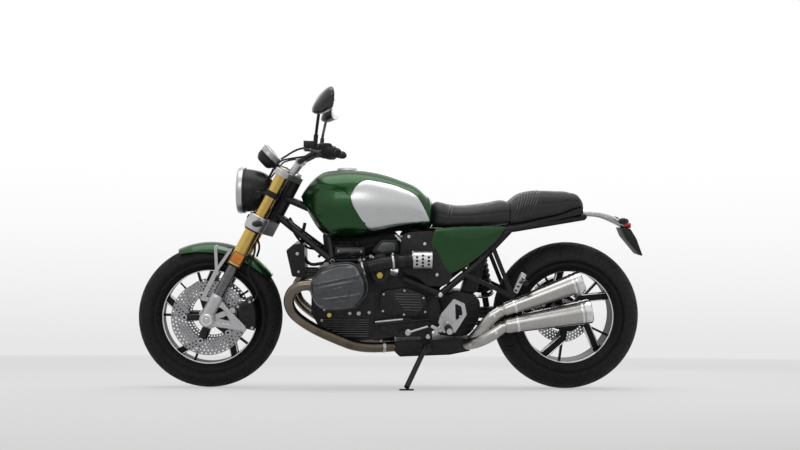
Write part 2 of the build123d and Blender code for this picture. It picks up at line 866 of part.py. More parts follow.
with BuildPart() as front_indicators:
    for sign in (1, -1):
        root = fork_point(indicator_height, leg_lead, sign * (leg_half + lower_tube_radius + clamp_wall - 2))
        tip = root + Vector(-10, sign * 42, 0)
        rod(root, tip, 6)
        with BuildSketch(Plane(origin=tip + Vector(24, 0, 0), z_dir=(-1, 0, 0))):
            Ellipse(26, 18)
        with BuildSketch(Plane(origin=tip + Vector(-26, 0, 0), z_dir=(-1, 0, 0))):
            Ellipse(14, 10)
        loft()
    add(yokes.part, mode=Mode.SUBTRACT)
keep(front_indicators, "front_indicators")

# Brake hoses, held at both ends
block_height = lower_clamp_bottom + 31
hose_plane = leg_lead + lower_tube_radius + clamp_wall + clearance
with BuildPart() as brake_hoses:
    with BuildSketch(fork(block_height - hose_block / 2)):
        with Locations((hose_plane + hose_block / 2, 0)):
            Rectangle(hose_block, 2 * hose_block)
    extrude(amount=hose_block)
    middle = hose_plane + hose_block / 2
    pump = Vector(*on_bar(grip_inset + grip_length + clearance + switch_width / 2, -1))
    pump = pump + Vector(pump_ahead + reservoir_length / 2 + clearance, 0, pump_rise + reservoir_height / 2)
    upper = [
        pump, pump + Vector(50, 8, -6), Vector(1222, -196, 982), fork_point(upper_clamp_top, 54, -86),
        fork_point(lamp_bracket_height + 10, 12, -68), fork_point(520, 16, -64), fork_point(497, 32, -62),
        fork_point(block_height + 8, middle, -42), fork_point(block_height, middle, -hose_block)]
    runs = [upper]
    for sign in (1, -1):
        runs.append([
            fork_point(block_height - hose_block / 2, middle, sign * hose_block * 0.7),
            fork_point(lower_clamp_bottom - 22, 30, sign * 45), fork_point(lower_clamp_bottom - 48, -18, sign * 70),
            fork_point(lower_clamp_bottom - 86, -42, sign * 93), fork_point(lower_clamp_bottom - 175, -62, sign * 100),
            front_axle_point + Vector(-199, sign * 94, 116), front_axle_point + Vector(*polar_point(caliper_outer + clearance, 158, sign * 84))])
    for run in runs:
        with BuildLine() as path:
            Spline(*run)
        with BuildSketch(Plane(origin=path.line @ 0, z_dir=path.line % 0)) as section:
            Circle(hose_radius)
        sweep(section.sketch, path=path.line)
    for held in (front_calipers, yokes, controls):
        add(held.part, mode=Mode.SUBTRACT)
keep(brake_hoses, "brake_hoses")

# Frame

head_low = lower_clamp_top + bearing_gap
head_high = upper_clamp_bottom - bearing_gap


def head_side(height, sign, spread=24):
    point = fork_point(height, -stem_offset, 0)
    return (point.X - 6, sign * spread, point.Z)


with BuildPart() as main_frame:
    with BuildSketch(fork(head_low)):
        with Locations((-stem_offset, 0)):
            Circle(head_radius)
    extrude(amount=head_high - head_low)
    for sign in (1, -1):
        mount = (engine_mount[0], sign * engine_mount[1], engine_mount[2])
        bend = (spar_bend_x, sign * spar_y, spar_bend_z)
        tube([head_side(head_high - 80, sign), bend, (spar_end_x, sign * spar_y, spar_end_z)], frame_radius, 90)
        rod(head_side(head_low + 26, sign), mount, frame_radius)
        rod(bend, mount, frame_radius - 2)
        rod((mount[0], mount[1] + sign * 22, mount[2]), (mount[0], mount[1] - sign * 12, mount[2]), frame_radius + 3)
    rod((spar_bend_x, -spar_y, spar_bend_z), (spar_bend_x, spar_y, spar_bend_z), frame_radius - 3)
    with BuildSketch(fork(head_low - 1)):
        with Locations((-stem_offset, 0)):
            Circle(stem_radius + bearing_gap)
    extrude(amount=head_high - head_low + 2, mode=Mode.SUBTRACT)
keep(main_frame, "main_frame")

with BuildPart() as rear_frame:
    for sign in (1, -1):
        knot = (rear_mount[0], sign * rear_mount[1], rear_mount[2])
        start = (spar_end_x - spar_joint, sign * spar_y, spar_end_z)
        tube(
            [start, (rail_bend_x, sign * rail_y, rail_bend_z), (rail_mid_x, sign * rail_y, rail_mid_z),
             (rail_end_x, sign * rail_y * 0.7, rail_end_z)], frame_radius, 120)
        tube([knot, (brace_x, sign * brace_y, brace_z), (rail_join_x, sign * rail_y, rail_join_z)], frame_radius, 60)
        rod((brace_front_x, sign * rear_mount[1], brace_front_z), knot, frame_radius)
        rod((knot[0], knot[1] - sign * 20, knot[2]), (knot[0], knot[1] + sign * 18, knot[2]), frame_radius + 3)
    for x, z in ((rail_bend_x, rail_bend_z), (shock_top[0], rail_shock_z), (rail_mid_x, rail_mid_z)):
        rod((x, -rail_y, z), (x, rail_y, z), frame_radius - 3)
    rod((rail_end_x, -rail_y * 0.7, rail_end_z), (rail_end_x, rail_y * 0.7, rail_end_z), frame_radius - 3)
    for sign in (1, -1):
        for x, top in buffers:
            rod((x, sign * buffer_y, top - 30), (x, sign * buffer_y, top), buffer_radius)
keep(rear_frame, "rear_frame")

# Engine

with BuildPart() as engine_case:
    slab(engine_outline, case_half_width, 2 * case_half_width, case_corner)
    for sign in (1, -1):
        with BuildSketch(side(sign * lug_y + lug_wall / 2)):
            strip((swing_x + 70, swing_z), (swing_x, swing_z), 2 * pivot_radius + 24)
        extrude(amount=lug_wall)
    for y in (case_half_width + gear_cover_wall, -case_half_width):
        slab(gear_cover, y, gear_cover_wall, 14)
    rod(
        (swing_x, case_half_width, swing_z), (swing_x, -case_half_width, swing_z), pivot_radius + clearance,
        Mode.SUBTRACT)
keep(engine_case, "engine_case")

with BuildPart() as cylinders:
    for sign in (1, -1):
        start = sign * (case_half_width + clearance)
        axis = Plane(origin=(cylinder_x, start, crank_z), x_dir=(1, 0, 0), z_dir=(0, sign, 0))
        with BuildSketch(axis):
            Circle(barrel_radius)
        extrude(amount=barrel_length)
        for k in range(fin_count):
            with BuildSketch(axis.offset(8 + k * barrel_length / fin_count)):
                RectangleRounded(2 * fin_radius, 2 * fin_radius - 20, fin_radius / 2)
            extrude(amount=fin_wall)
        with BuildSketch(axis.offset(barrel_length)):
            RectangleRounded(2 * fin_radius, 2 * fin_radius - 14, fin_radius / 3)
        extrude(amount=head_length)
keep(cylinders, "cylinders")

cover_start = case_half_width + 2 * clearance + barrel_length + head_length
with BuildPart() as head_covers:
    for sign in (1, -1):
        base = Plane(origin=(0, sign * cover_start, 0), x_dir=(1, 0, 0), z_dir=(0, sign, 0))
        with BuildSketch(base) as outline:
            with BuildLine():
                Polyline(*[(x, -sign * z) for x, z in cover_outline], close=True)
            make_face()
            fillet(outline.vertices(), cover_corner)
        extrude(outline.sketch, amount=cover_flange)
        extrude(outline.sketch, amount=cover_depth, taper=cover_taper)
        with BuildSketch(base.offset(cover_depth - 1)) as ribs:
            for k in range(rib_count):
                rise = (k - (rib_count - 1) / 2) * rib_pitch
                with Locations((rib_x, -sign * (rib_z + rise))):
                    SlotOverall(rib_length - abs(rise), rib_width)
        extrude(ribs.sketch, amount=rib_height + 1)
keep(head_covers, "head_covers")

with BuildPart() as oil_cooler:
    slab(cooler_outline, cooler_half, 2 * cooler_half, 9)
    for y in (-cooler_half * 0.6, cooler_half * 0.6):
        rod((cooler_mount_x + 8, y, cooler_mount_z), (cooler_mount_x - 60, y, cooler_mount_z), 9)
    add(engine_case.part, mode=Mode.SUBTRACT)
keep(oil_cooler, "oil_cooler")

# Intake

with BuildPart() as airbox:
    slab(airbox_outline, airbox_half, 2 * airbox_half, 12)
    slab(lid_outline, lid_half, 2 * lid_half, 10)
    add(engine_case.part, mode=Mode.SUBTRACT)
keep(airbox, "airbox")

port = (cylinder_x - 70, 190, crank_z + 80)
throat = (intake_x, intake_y, intake_z)
sleeve_y = lid_half + sleeve_radius + clearance
box_port = (sleeve_x + sleeve_length, sleeve_y, sleeve_z)
with BuildPart() as intake_sleeves:
    for sign in (1, -1):
        start = Vector(box_port[0], sign * box_port[1], box_port[2])
        end = Vector(sleeve_x, sign * sleeve_y, sleeve_z)
        rod(start, end, sleeve_radius)
keep(intake_sleeves, "intake_sleeves")

with BuildPart() as intakes:
    for sign in (1, -1):
        tube(
            [(port[0], sign * port[1], port[2]), (throat[0], sign * throat[1], throat[2]),
             (box_port[0] - 8, sign * box_port[1], box_port[2])], intake_radius, 70)
    add(intake_sleeves.part, mode=Mode.SUBTRACT)
    add(cylinders.part, mode=Mode.SUBTRACT)
keep(intakes, "intakes")

# Tank, seat and covers

with BuildPart() as fuel_tank:
    shell_loft(tank_sections)
    slab(tunnel_outline, tunnel_half, 2 * tunnel_half, 0, Mode.SUBTRACT)
    slab(nose_outline, nose_half, 2 * nose_half, 0, Mode.SUBTRACT)
    with BuildSketch(Plane(origin=(cap_x, 0, cap_z), z_dir=(cap_lean, 0, 1))):
        Circle(cap_radius + clearance)
    extrude(amount=cap_height, mode=Mode.SUBTRACT)
keep(fuel_tank, "fuel_tank")

with BuildPart() as filler_cap:
    with BuildSketch(Plane(origin=(cap_x, 0, cap_z), z_dir=(cap_lean, 0, 1))):
        Circle(cap_radius)
    extrude(amount=cap_height)
keep(filler_cap, "filler_cap")

with BuildPart() as rider_seat:
    shell_loft(rider_sections)
keep(rider_seat, "rider_seat")

with BuildPart() as pillion_seat:
    shell_loft(pillion_sections)
keep(pillion_seat, "pillion_seat")

with BuildPart() as side_covers:
    for sign in (1, -1):
        slab(side_cover_outline, sign * cover_half_width + cover_wall / 2, cover_wall, 8)
        rod(
            (peg_hook_x, sign * cover_half_width, peg_hook_z),
            (peg_hook_x, sign * (rail_y + frame_radius + clearance), peg_hook_z), 7)
keep(side_covers, "side_covers")

# Tail

with BuildPart() as tail_carrier:
    shell_loft(tail_sections)
    slab(plate_outline, plate_half, 2 * plate_half, 0)
keep(tail_carrier, "tail_carrier")

with BuildPart() as tail_lamp:
    with BuildSketch(across(lamp_face_x)):
        with Locations((0, tail_lamp_z)):
            SlotOverall(tail_lamp_width, tail_lamp_height)
    extrude(amount=tail_lamp_depth)
keep(tail_lamp, "tail_lamp")

with BuildPart() as rear_indicators:
    for sign in (1, -1):
        root = Vector(indicator_x, sign * indicator_y, indicator_z)
        tip = root + Vector(-6, sign * 40, 0)
        rod(root, tip, 6)
        with BuildSketch(Plane(origin=tip + Vector(26, 0, 0), z_dir=(-1, 0, 0))):
            Ellipse(12, 8)
        with BuildSketch(Plane(origin=tip + Vector(-22, 0, 0), z_dir=(-1, 0, 0))):
            Ellipse(26, 16)
        loft()
keep(rear_indicators, "rear_indicators")

# Exhaust

with BuildPart() as collector:
    slab(collector_outline, collector_half, 2 * collector_half, 12)
keep(collector, "collector")

with BuildPart() as exhaust_headers:
    for sign in (1, -1):
        points = [(x, sign * y, z) for x, y, z in header_points]
        tube(points, header_radius, 55)
    add(cylinders.part, mode=Mode.SUBTRACT)
    add(collector.part, mode=Mode.SUBTRACT)
keep(exhaust_headers, "exhaust_headers")

with BuildPart() as silencers:
    for front, back, small, large in silencer_runs:
        line = Vector(*back) - Vector(*front)
        with BuildSketch(Plane(origin=front, z_dir=line)):
            Circle(small)
        with BuildSketch(Plane(origin=back, z_dir=line)):
            Circle(large)
        loft()
        with BuildSketch(Plane(origin=back, z_dir=line)):
            Circle(large * 0.55)
        extrude(amount=-40, mode=Mode.SUBTRACT)
        tube([collector_outlet, ((front[0] + collector_outlet[0]) / 2, silencer_y, (front[2] + collector_outlet[2]) / 2 - 8),
              tuple(Vector(*front) + line.normalized() * 6)], link_radius, 60)
    add(collector.part, mode=Mode.SUBTRACT)
keep(silencers, "silencers")

# Rear wheel carrier

with BuildPart() as swingarm:
    tube([(swing_x, -swing_inner, swing_z), (swing_bend_x, -swing_outer, swing_bend_z), (0, -swing_outer, rear_radius)],
         swing_radius, 120)
    rod((swing_x, -swing_pivot_half - 8, swing_z), (swing_x, swing_pivot_half, swing_z), pivot_radius)
    with BuildSketch(wheel(rear_axle_point, drive_inner)):
        Circle(drive_radius)
    extrude(amount=drive_inner - drive_outer)
    with BuildSketch(wheel(rear_axle_point, rear_hub_high - 8)):
        Circle(stub_radius)
    extrude(amount=rear_hub_high - 8 - drive_inner)
    with BuildSketch(wheel(rear_axle_point, drive_outer + axle_bore_depth)):
        Circle(axle_bore)
    extrude(amount=axle_bore_depth, mode=Mode.SUBTRACT)
keep(swingarm, "swingarm")

with BuildPart() as torque_arm:
    rod(torque_front, torque_back, torque_radius)
    rod((torque_front[0], torque_front[1] - 14, torque_front[2]), (torque_front[0], -case_half_width - clearance, torque_front[2]), torque_radius + 3)
    add(swingarm.part, mode=Mode.SUBTRACT)
keep(torque_arm, "torque_arm")

with BuildPart() as rear_shock:
    top = Vector(*shock_top)
    bottom = Vector(*shock_bottom)
    rod(top, bottom, shock_radius)
    rod(top + (bottom - top) * 0.16, top + (bottom - top) * 0.78, spring_radius)
    rod(top + Vector(0, 15, 0), top - Vector(0, 15, 0), frame_radius + 5)
    rod(top + Vector(0, 20, 0), top - Vector(0, 20, 0), frame_radius - 3 + clearance, Mode.SUBTRACT)
    add(swingarm.part, mode=Mode.SUBTRACT)
keep(rear_shock, "rear_shock")

with BuildPart() as rear_caliper:
    low, high = rear_caliper_angles
    middle_angle = (low + high) / 2
    with BuildSketch(wheel(rear_axle_point, rear_disc_y + rear_caliper_width / 2)):
        with BuildLine():
            outer = CenterArc((0, 0), rear_disc_radius + 26, low, high - low)
            inner = CenterArc((0, 0), bolt_circle + boss_radius + caliper_gap, low, high - low)
            Line(outer @ 0, inner @ 0)
            Line(outer @ 1, inner @ 1)
        make_face()
    extrude(amount=rear_caliper_width)
    with BuildSketch(wheel(rear_axle_point, rear_disc_y + disc_thickness / 2 + caliper_gap)):
        Circle(rear_disc_radius + caliper_gap)
    extrude(amount=disc_thickness + 2 * caliper_gap, mode=Mode.SUBTRACT)
    with BuildSketch(wheel(rear_axle_point, rear_disc_y - rear_caliper_width / 2 + 14)):
        strip(polar(drive_radius - 10, middle_angle), polar(rear_disc_radius, middle_angle), 44)
    extrude(amount=14)
    add(swingarm.part, mode=Mode.SUBTRACT)
keep(rear_caliper, "rear_caliper")

# Footrests

for name, sign in (("footrest_left", 1), ("footrest_right", -1)):
    with BuildPart() as footrest:
        slab(heel_outline, sign * plate_y + 5, 10, 8)
        slab(heel_window, sign * plate_y + 6, 12, 5, Mode.SUBTRACT)
        rod((peg_x, sign * (plate_y + 4), peg_z), (peg_x, sign * (plate_y + peg_length), peg_z), peg_radius)
        rod((stay_x, sign * (plate_y - 4), stay_z), (stay_x, sign * (case_half_width + clearance), stay_z), stay_radius)
    keep(footrest, name)

with BuildPart() as pillion_rests:
    for sign in (1, -1):
        with BuildSketch(side(sign * pillion_y + 4)):
            for start, end in pillion_struts:
                strip(start, end, 18)
        extrude(amount=8)
        rod((pillion_x, sign * (pillion_y + 4), pillion_z), (pillion_x, sign * (pillion_y + 96), pillion_z), 12)
keep(pillion_rests, "pillion_rests")

# Side stand

pivot = Vector(*stand_pivot)
lean_turned = radians(lean)
floor_up = Vector(0, -sin(lean_turned), cos(lean_turned))
floor_out = Vector(0, cos(lean_turned), sin(lean_turned))
floor_level = -rear_crown * (1 - cos(lean_turned))
foot_point = Vector(stand_foot_x, 0, 0) + floor_out * stand_reach + floor_up * floor_level
leg_line = foot_point - pivot
hinge_line = leg_line.cross(Vector(*stand_folded)).normalized()
with BuildPart() as side_stand:
    rod(pivot + hinge_line * clearance, pivot + hinge_line * stand_eye, stand_eye_radius)
    rod(pivot + hinge_line * stand_eye / 2, foot_point + floor_up * (stand_radius + 1), stand_radius)
    with BuildSketch(Plane(origin=foot_point, x_dir=(1, 0, 0), z_dir=floor_up)):
        RectangleRounded(58, 46, 12)
    extrude(amount=6)
    rod(pivot - hinge_line, pivot + hinge_line * (stand_eye + 1), stand_pin + clearance, Mode.SUBTRACT)
keep(side_stand, "side_stand")

with BuildPart() as stand_bracket:
    rod(pivot - hinge_line * 24, pivot, stand_eye_radius)
    rod(pivot, pivot + hinge_line * (stand_eye + 4), stand_pin)
    slab(bracket_outline, case_half_width + bracket_wall + clearance, bracket_wall, 8)
keep(stand_bracket, "stand_bracket")

# The parked pose
lean_turn = Location((0, 0, 0), (-lean, 0, 0))
leaning = [piece.moved(lean_turn) for piece in pieces]
box = Compound(children=[piece.moved(Location((0, 0, 0))) for piece in leaning]).bounding_box()
parked = Location((-(box.min.X + box.max.X) / 2, -(box.min.Y + box.max.Y) / 2, -box.min.Z))
for piece, label in zip(leaning, [piece.label for piece in pieces]):
    placed = piece.moved(parked)
    placed.label = label
    export_step(placed, "parts/" + label + ".step")
print("set down by", parked.position)
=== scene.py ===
import json
import math

import bmesh
import bpy
import numpy as np
from mathutils import Matrix, Vector


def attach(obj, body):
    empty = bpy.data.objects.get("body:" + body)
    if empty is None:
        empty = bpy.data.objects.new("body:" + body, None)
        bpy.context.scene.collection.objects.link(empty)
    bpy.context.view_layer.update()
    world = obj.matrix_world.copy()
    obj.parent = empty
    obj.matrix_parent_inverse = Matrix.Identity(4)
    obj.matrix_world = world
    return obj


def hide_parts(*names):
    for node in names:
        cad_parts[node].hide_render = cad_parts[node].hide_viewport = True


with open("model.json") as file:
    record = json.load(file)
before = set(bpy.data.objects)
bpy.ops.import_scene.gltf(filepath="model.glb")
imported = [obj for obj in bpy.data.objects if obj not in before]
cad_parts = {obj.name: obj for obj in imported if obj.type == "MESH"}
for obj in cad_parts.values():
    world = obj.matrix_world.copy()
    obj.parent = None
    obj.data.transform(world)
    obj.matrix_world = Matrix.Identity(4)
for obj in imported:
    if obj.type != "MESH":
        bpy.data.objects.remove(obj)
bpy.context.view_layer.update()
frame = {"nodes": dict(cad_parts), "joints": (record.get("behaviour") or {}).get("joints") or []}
nodes = frame["nodes"]
print("frame loaded:", len(nodes), "nodes")

stance = {"lean": 9.0, "rake": 27.0, "wheelbase": 1511.0, "frontRadius": 300.0, "rearRadius": 315.0}

leanAngle = math.radians(stance["lean"])
leanTurn = np.array([
    [1, 0, 0],
    [0, math.cos(leanAngle), math.sin(leanAngle)],
    [0, -math.sin(leanAngle), math.cos(leanAngle)]])
rearHub = next(j["pos_m"] for j in frame["joints"] if j["name"] == "rear_wheel_spin")
parkShift = np.array(rearHub) - leanTurn @ np.array([0, 0, stance["rearRadius"] / 1000])
frontHub = np.array([stance["wheelbase"], 0.0, stance["frontRadius"]])
rearHubUp = np.array([0.0, 0.0, stance["rearRadius"]])
rakeAngle = math.radians(stance["rake"])
forkUp = np.array([-math.sin(rakeAngle), 0, math.cos(rakeAngle)])
forkAhead = np.array([math.cos(rakeAngle), 0, math.sin(rakeAngle)])


def park(points):
    # upright millimetres to the leaning frame in metres: scale, lean about X, then shift
    return (np.asarray(points, float) / 1000) @ leanTurn.T + parkShift


def forkPoint(height, ahead, side):
    # a place on the fork: up along its legs from the axle, ahead of them, and to the left
    return frontHub + forkUp * height + forkAhead * ahead + np.array([0, side, 0])


def unit(vector):
    vector = np.asarray(vector, float)
    return vector / np.linalg.norm(vector, axis=-1, keepdims=True)


# Shapes: each is (points, list of face arrays), joined before it becomes a mesh


def sheetShape(grid, loopU=False, loopV=False, capped=False):
    # a grid of points P[u, v] with a quad between neighbours; capped closes both u ends to their middles
    rows, cols = grid.shape[:2]
    index = np.arange(rows * cols).reshape(rows, cols)
    low = index if loopU else index[:-1]
    high = np.roll(index, -1, 0) if loopU else index[1:]
    if loopV:
        corners = [low, np.roll(low, -1, 1), np.roll(high, -1, 1), high]
    else:
        corners = [low[:, :-1], low[:, 1:], high[:, 1:], high[:, :-1]]
    quads = np.stack(corners, -1).reshape(-1, 4)
    points = grid.reshape(-1, 3)
    faces = [quads]
    if capped:
        count = len(points)
        points = np.vstack([points, grid[0].mean(0), grid[-1].mean(0)])
        for row, middle in ((index[0], count), (index[-1], count + 1)):
            faces.append(np.stack([row, np.roll(row, -1), np.full(cols, middle)], -1))
    return points, faces


def joinShapes(shapes):
    points, faces, start = [], [], 0
    for shapePoints, shapeFaces in shapes:
        points.append(shapePoints)
        faces += [part + start for part in shapeFaces]
        start += len(shapePoints)
    return np.vstack(points), faces


def mirrored(shape):
    # the same shape on the right side
    return shape[0] * np.array([1, -1, 1]), shape[1]


def bothSides(shape):
    return joinShapes([shape, mirrored(shape)])


def crossAxes(direction):
    # two unit vectors square to a direction, for a whole array of directions
    direction = unit(direction)
    reference = np.where(np.abs(direction[..., 2:3]) > 0.9, np.array([1.0, 0, 0]), np.array([0, 0, 1.0]))
    across = unit(np.cross(reference, direction))
    return across, np.cross(direction, across)


def lathe(profile, centre, axis, sides=64, closed=True):
    # each profile pair (along, radius) turned once round the axis; a closed profile makes a ring
    profile = np.asarray(profile, float)
    axis = unit(axis)
    across, up = crossAxes(axis)
    turn = np.linspace(0, 2 * math.pi, sides, endpoint=False)
    ring = np.cos(turn)[:, None] * across + np.sin(turn)[:, None] * up
    grid = np.asarray(centre, float) + profile[:, None, :1] * axis + profile[:, None, 1:] * ring[None]
    return sheetShape(grid, loopU=closed, loopV=True, capped=not closed)


def smoothPath(points, count):
    # a Catmull-Rom curve through the points, sampled evenly along its knots
    points = np.asarray(points, float)
    padded = np.vstack([2 * points[0] - points[1], points, 2 * points[-1] - points[-2]])
    place = np.linspace(0, len(points) - 1, count)
    knot = np.minimum(place.astype(int), len(points) - 2)
    t = (place - knot)[:, None]
    a, b, c, d = (padded[knot + k] for k in range(4))
    return 0.5 * (2 * b + (c - a) * t + (2 * a - 5 * b + 4 * c - d) * t**2 + (3 * b - a - 3 * c + d) * t**3)


def curveValue(x, stations):
    # the height of a smooth curve through (station, value) pairs, at every x; slopes are weighted means
    knots = np.asarray(sorted(stations), float)
    xs, ys = knots[:, 0], knots[:, 1]
    steps = np.diff(xs)
    slopes = np.diff(ys) / steps
    tangents = np.concatenate([[slopes[0]], (slopes[:-1] * steps[1:] + slopes[1:] * steps[:-1]) / (steps[1:] + steps[:-1]), [slopes[-1]]])
    x = np.clip(x, xs[0], xs[-1])
    k = np.clip(np.searchsorted(xs, x, side="right") - 1, 0, len(xs) - 2)
    t = (x - xs[k]) / steps[k]
    return (
        ys[k] * (1 + 2 * t) * (1 - t)**2 + ys[k + 1] * t**2 * (3 - 2 * t)
        + tangents[k] * steps[k] * t * (1 - t)**2 - tangents[k + 1] * steps[k] * t**2 * (1 - t))


def tubeShape(path, radius, sides=20):
    # a circle of the given radius carried along a path, square to its direction without twist, with closed ends
    path = np.asarray(path, float)
    along = unit(np.gradient(path, axis=0))
    across = crossAxes(along)[0]
    for k in range(1, len(path)):
        across[k] = unit(across[k - 1] - along[k] * np.dot(across[k - 1], along[k]))
    up = np.cross(along, across)
    turn = np.linspace(0, 2 * math.pi, sides, endpoint=False)
    wide = np.broadcast_to(np.asarray(radius, float), (len(path),))[:, None, None]
    grid = path[:, None] + wide * (np.cos(turn)[None, :, None] * across[:, None] + np.sin(turn)[None, :, None] * up[:, None])
    return sheetShape(grid, loopV=True, capped=True)


def barShape(start, end, radius, bevel=1.0, sides=24):
    # a round bar with a small bevel at both ends
    start, end = np.asarray(start, float), np.asarray(end, float)
    length = np.linalg.norm(end - start)
    profile = [(0, radius - bevel), (bevel, radius), (length - bevel, radius), (length, radius - bevel)]
    return lathe(profile, start, end - start, sides, closed=False)


def roundedOutline(corners, radius, steps=6):
    # a closed outline whose corners are parabolic arcs that start and end a radius from each corner
    corners = np.asarray(corners, float)
    before, after = np.roll(corners, 1, 0) - corners, np.roll(corners, -1, 0) - corners
    radius = np.broadcast_to(np.asarray(radius, float), (len(corners),))
    cut = np.minimum(radius, 0.45 * np.minimum(np.linalg.norm(before, axis=1), np.linalg.norm(after, axis=1)))[:, None]
    first, last = corners + unit(before) * cut, corners + unit(after) * cut
    t = np.linspace(0, 1, steps)[None, :, None]
    arcs = first[:, None] * (1 - t)**2 + 2 * corners[:, None] * t * (1 - t) + last[:, None] * t**2
    return arcs.reshape(-1, 2)


def insetOutline(outline, distance):
    # every point moved inwards, square to the outline
    edges = unit(np.roll(outline, -1, 0) - np.roll(outline, 1, 0))
    normal = np.stack([-edges[:, 1], edges[:, 0]], -1)
    following = np.roll(outline, -1, 0)
    area = np.sum(outline[:, 0] * following[:, 1] - following[:, 0] * outline[:, 1])
    return outline + normal * distance * np.sign(area)


def plateShape(outline, low, high, bevel=1.5, place=None):
    # an outline in X and Z from y low to y high with bevelled edges; place turns (x, z, y) into points
    outline = np.asarray(outline, float)
    bend = bevel * 0.3
    rings = [(low, bevel), (low + bend, bend), (low + bevel, 0), (high - bevel, 0), (high - bend, bend), (high, bevel)]
    rows = []
    for y, inset in rings:
        ring = insetOutline(outline, inset)
        flat = np.stack([ring[:, 0], np.full(len(ring), float(y)), ring[:, 1]], -1)
        rows.append(flat if place is None else place(flat))
    return sheetShape(np.stack(rows), loopV=True, capped=False), rows


def closedPlate(outline, low, high, bevel=1.5, place=None):
    # the plate with an n-sided face at both ends
    (points, faces), rows = plateShape(outline, low, high, bevel, place)
    count = len(rows[0])
    first = np.arange(count)[None]
    last = np.arange(len(points) - count, len(points))[None]
    return points, faces + [first, last]


def boltShape(centre, direction, radius, height=4.0):
    # a cap screw's head with a hexagon socket
    direction = unit(direction)
    profile = [(0, radius), (height * 0.8, radius), (height, radius * 0.85), (height, radius * 0.5), (height * 0.4, radius * 0.45)]
    return lathe([(-1, radius * 0.2)] + profile, centre, direction, 12, closed=False)


def makePiece(name, shape, material, body, sharp=35, replaced=(), bevel=0.0, levels=0):
    # a mesh from a shape, with outward faces, riding on its body
    points, faces = shape
    mesh = bpy.data.meshes.new(name)
    mesh.from_pydata(park(points).tolist(), [], [face for part in faces for face in part.tolist()])
    work = bmesh.new()
    work.from_mesh(mesh)
    bmesh.ops.remove_doubles(work, verts=work.verts, dist=1e-6)
    bmesh.ops.dissolve_degenerate(work, edges=work.edges, dist=1e-7)
    bmesh.ops.recalc_face_normals(work, faces=work.faces)
    work.to_mesh(mesh)
    work.free()
    return dressMesh(name, mesh, material, body, sharp, replaced, bevel, levels)


def dressMesh(name, mesh, material, body, sharp, replaced, bevel, levels):
    mesh.polygons.foreach_set("use_smooth", np.ones(len(mesh.polygons), bool))
    mesh.set_sharp_from_angle(angle=math.radians(sharp))
    piece = bpy.data.objects.new(name, mesh)
    bpy.context.scene.collection.objects.link(piece)
    mesh.materials.append(material)
    if bevel:
        edge = piece.modifiers.new("edge", "BEVEL")
        edge.width = bevel / 1000
        edge.segments = 2
        edge.limit_method = "ANGLE"
        edge.angle_limit = math.radians(30)
        edge.harden_normals = True
    if levels:
        smooth = piece.modifiers.new("smooth", "SUBSURF")
        smooth.levels = smooth.render_levels = levels
    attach(piece, body)
    if replaced:
        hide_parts(*replaced)
    return piece


# Finishes: every one varies in colour, roughness and bump over Object coordinates


def newFinish(name):
    material = bpy.data.materials.new(name)
    material.use_nodes = True
    tree = material.node_tree
    shader = tree.nodes["Principled BSDF"]
    place = tree.nodes.new("ShaderNodeTexCoord").outputs["Object"]
    return material, tree, shader, place


def addNoise(tree, place, scale, detail=4.0, stretch=None, roughness=0.5):
    source = place
    if stretch:
        turn = tree.nodes.new("ShaderNodeMapping")
        turn.inputs["Scale"].default_value = stretch
        tree.links.new(place, turn.inputs["Vector"])
        source = turn.outputs["Vector"]
    noise = tree.nodes.new("ShaderNodeTexNoise")
    noise.inputs["Scale"].default_value = scale
    noise.inputs["Detail"].default_value = detail
    noise.inputs["Roughness"].default_value = roughness
    tree.links.new(source, noise.inputs["Vector"])
    return noise.outputs["Fac"]


def addRange(tree, value, low, high, fromLow=0.3, fromHigh=0.7):
    spread = tree.nodes.new("ShaderNodeMapRange")
    spread.inputs["From Min"].default_value = fromLow
    spread.inputs["From Max"].default_value = fromHigh
    spread.inputs["To Min"].default_value = low
    spread.inputs["To Max"].default_value = high
    tree.links.new(value, spread.inputs["Value"])
    return spread.outputs["Result"]


def addColours(tree, value, dark, light):
    ramp = tree.nodes.new("ShaderNodeValToRGB")
    ramp.color_ramp.elements[0].position = 0.3
    ramp.color_ramp.elements[0].color = (*dark, 1)
    ramp.color_ramp.elements[1].position = 0.7
    ramp.color_ramp.elements[1].color = (*light, 1)
    tree.links.new(value, ramp.inputs["Fac"])
    return ramp.outputs["Color"]


def addBump(tree, height, strength, distance):
    bump = tree.nodes.new("ShaderNodeBump")
    bump.inputs["Strength"].default_value = strength
    bump.inputs["Distance"].default_value = distance
    tree.links.new(height, bump.inputs["Height"])
    return bump.outputs["Normal"]


def finish(name, dark, light, metallic, roughness, scale=60.0, grain=400.0, bump=0.1, depth=0.0002, coat=0.0, stretch=None, spread=0.06, specular=0.5):
    # colour drifts between dark and light, roughness by the spread, and a fine grain makes the bump
    material, tree, shader, place = newFinish(name)
    shader.inputs["Metallic"].default_value = metallic
    shader.inputs["Coat Weight"].default_value = coat
    shader.inputs["Coat Roughness"].default_value = 0.04
    shader.inputs["Specular IOR Level"].default_value = specular
    drift = addNoise(tree, place, scale, 5.0)
    tree.links.new(addColours(tree, drift, dark, light), shader.inputs["Base Color"])
    fine = addNoise(tree, place, grain, 3.0, stretch)
    tree.links.new(addRange(tree, fine, roughness - spread, roughness + spread), shader.inputs["Roughness"])
    tree.links.new(addBump(tree, fine, bump, depth), shader.inputs["Normal"])
    return material


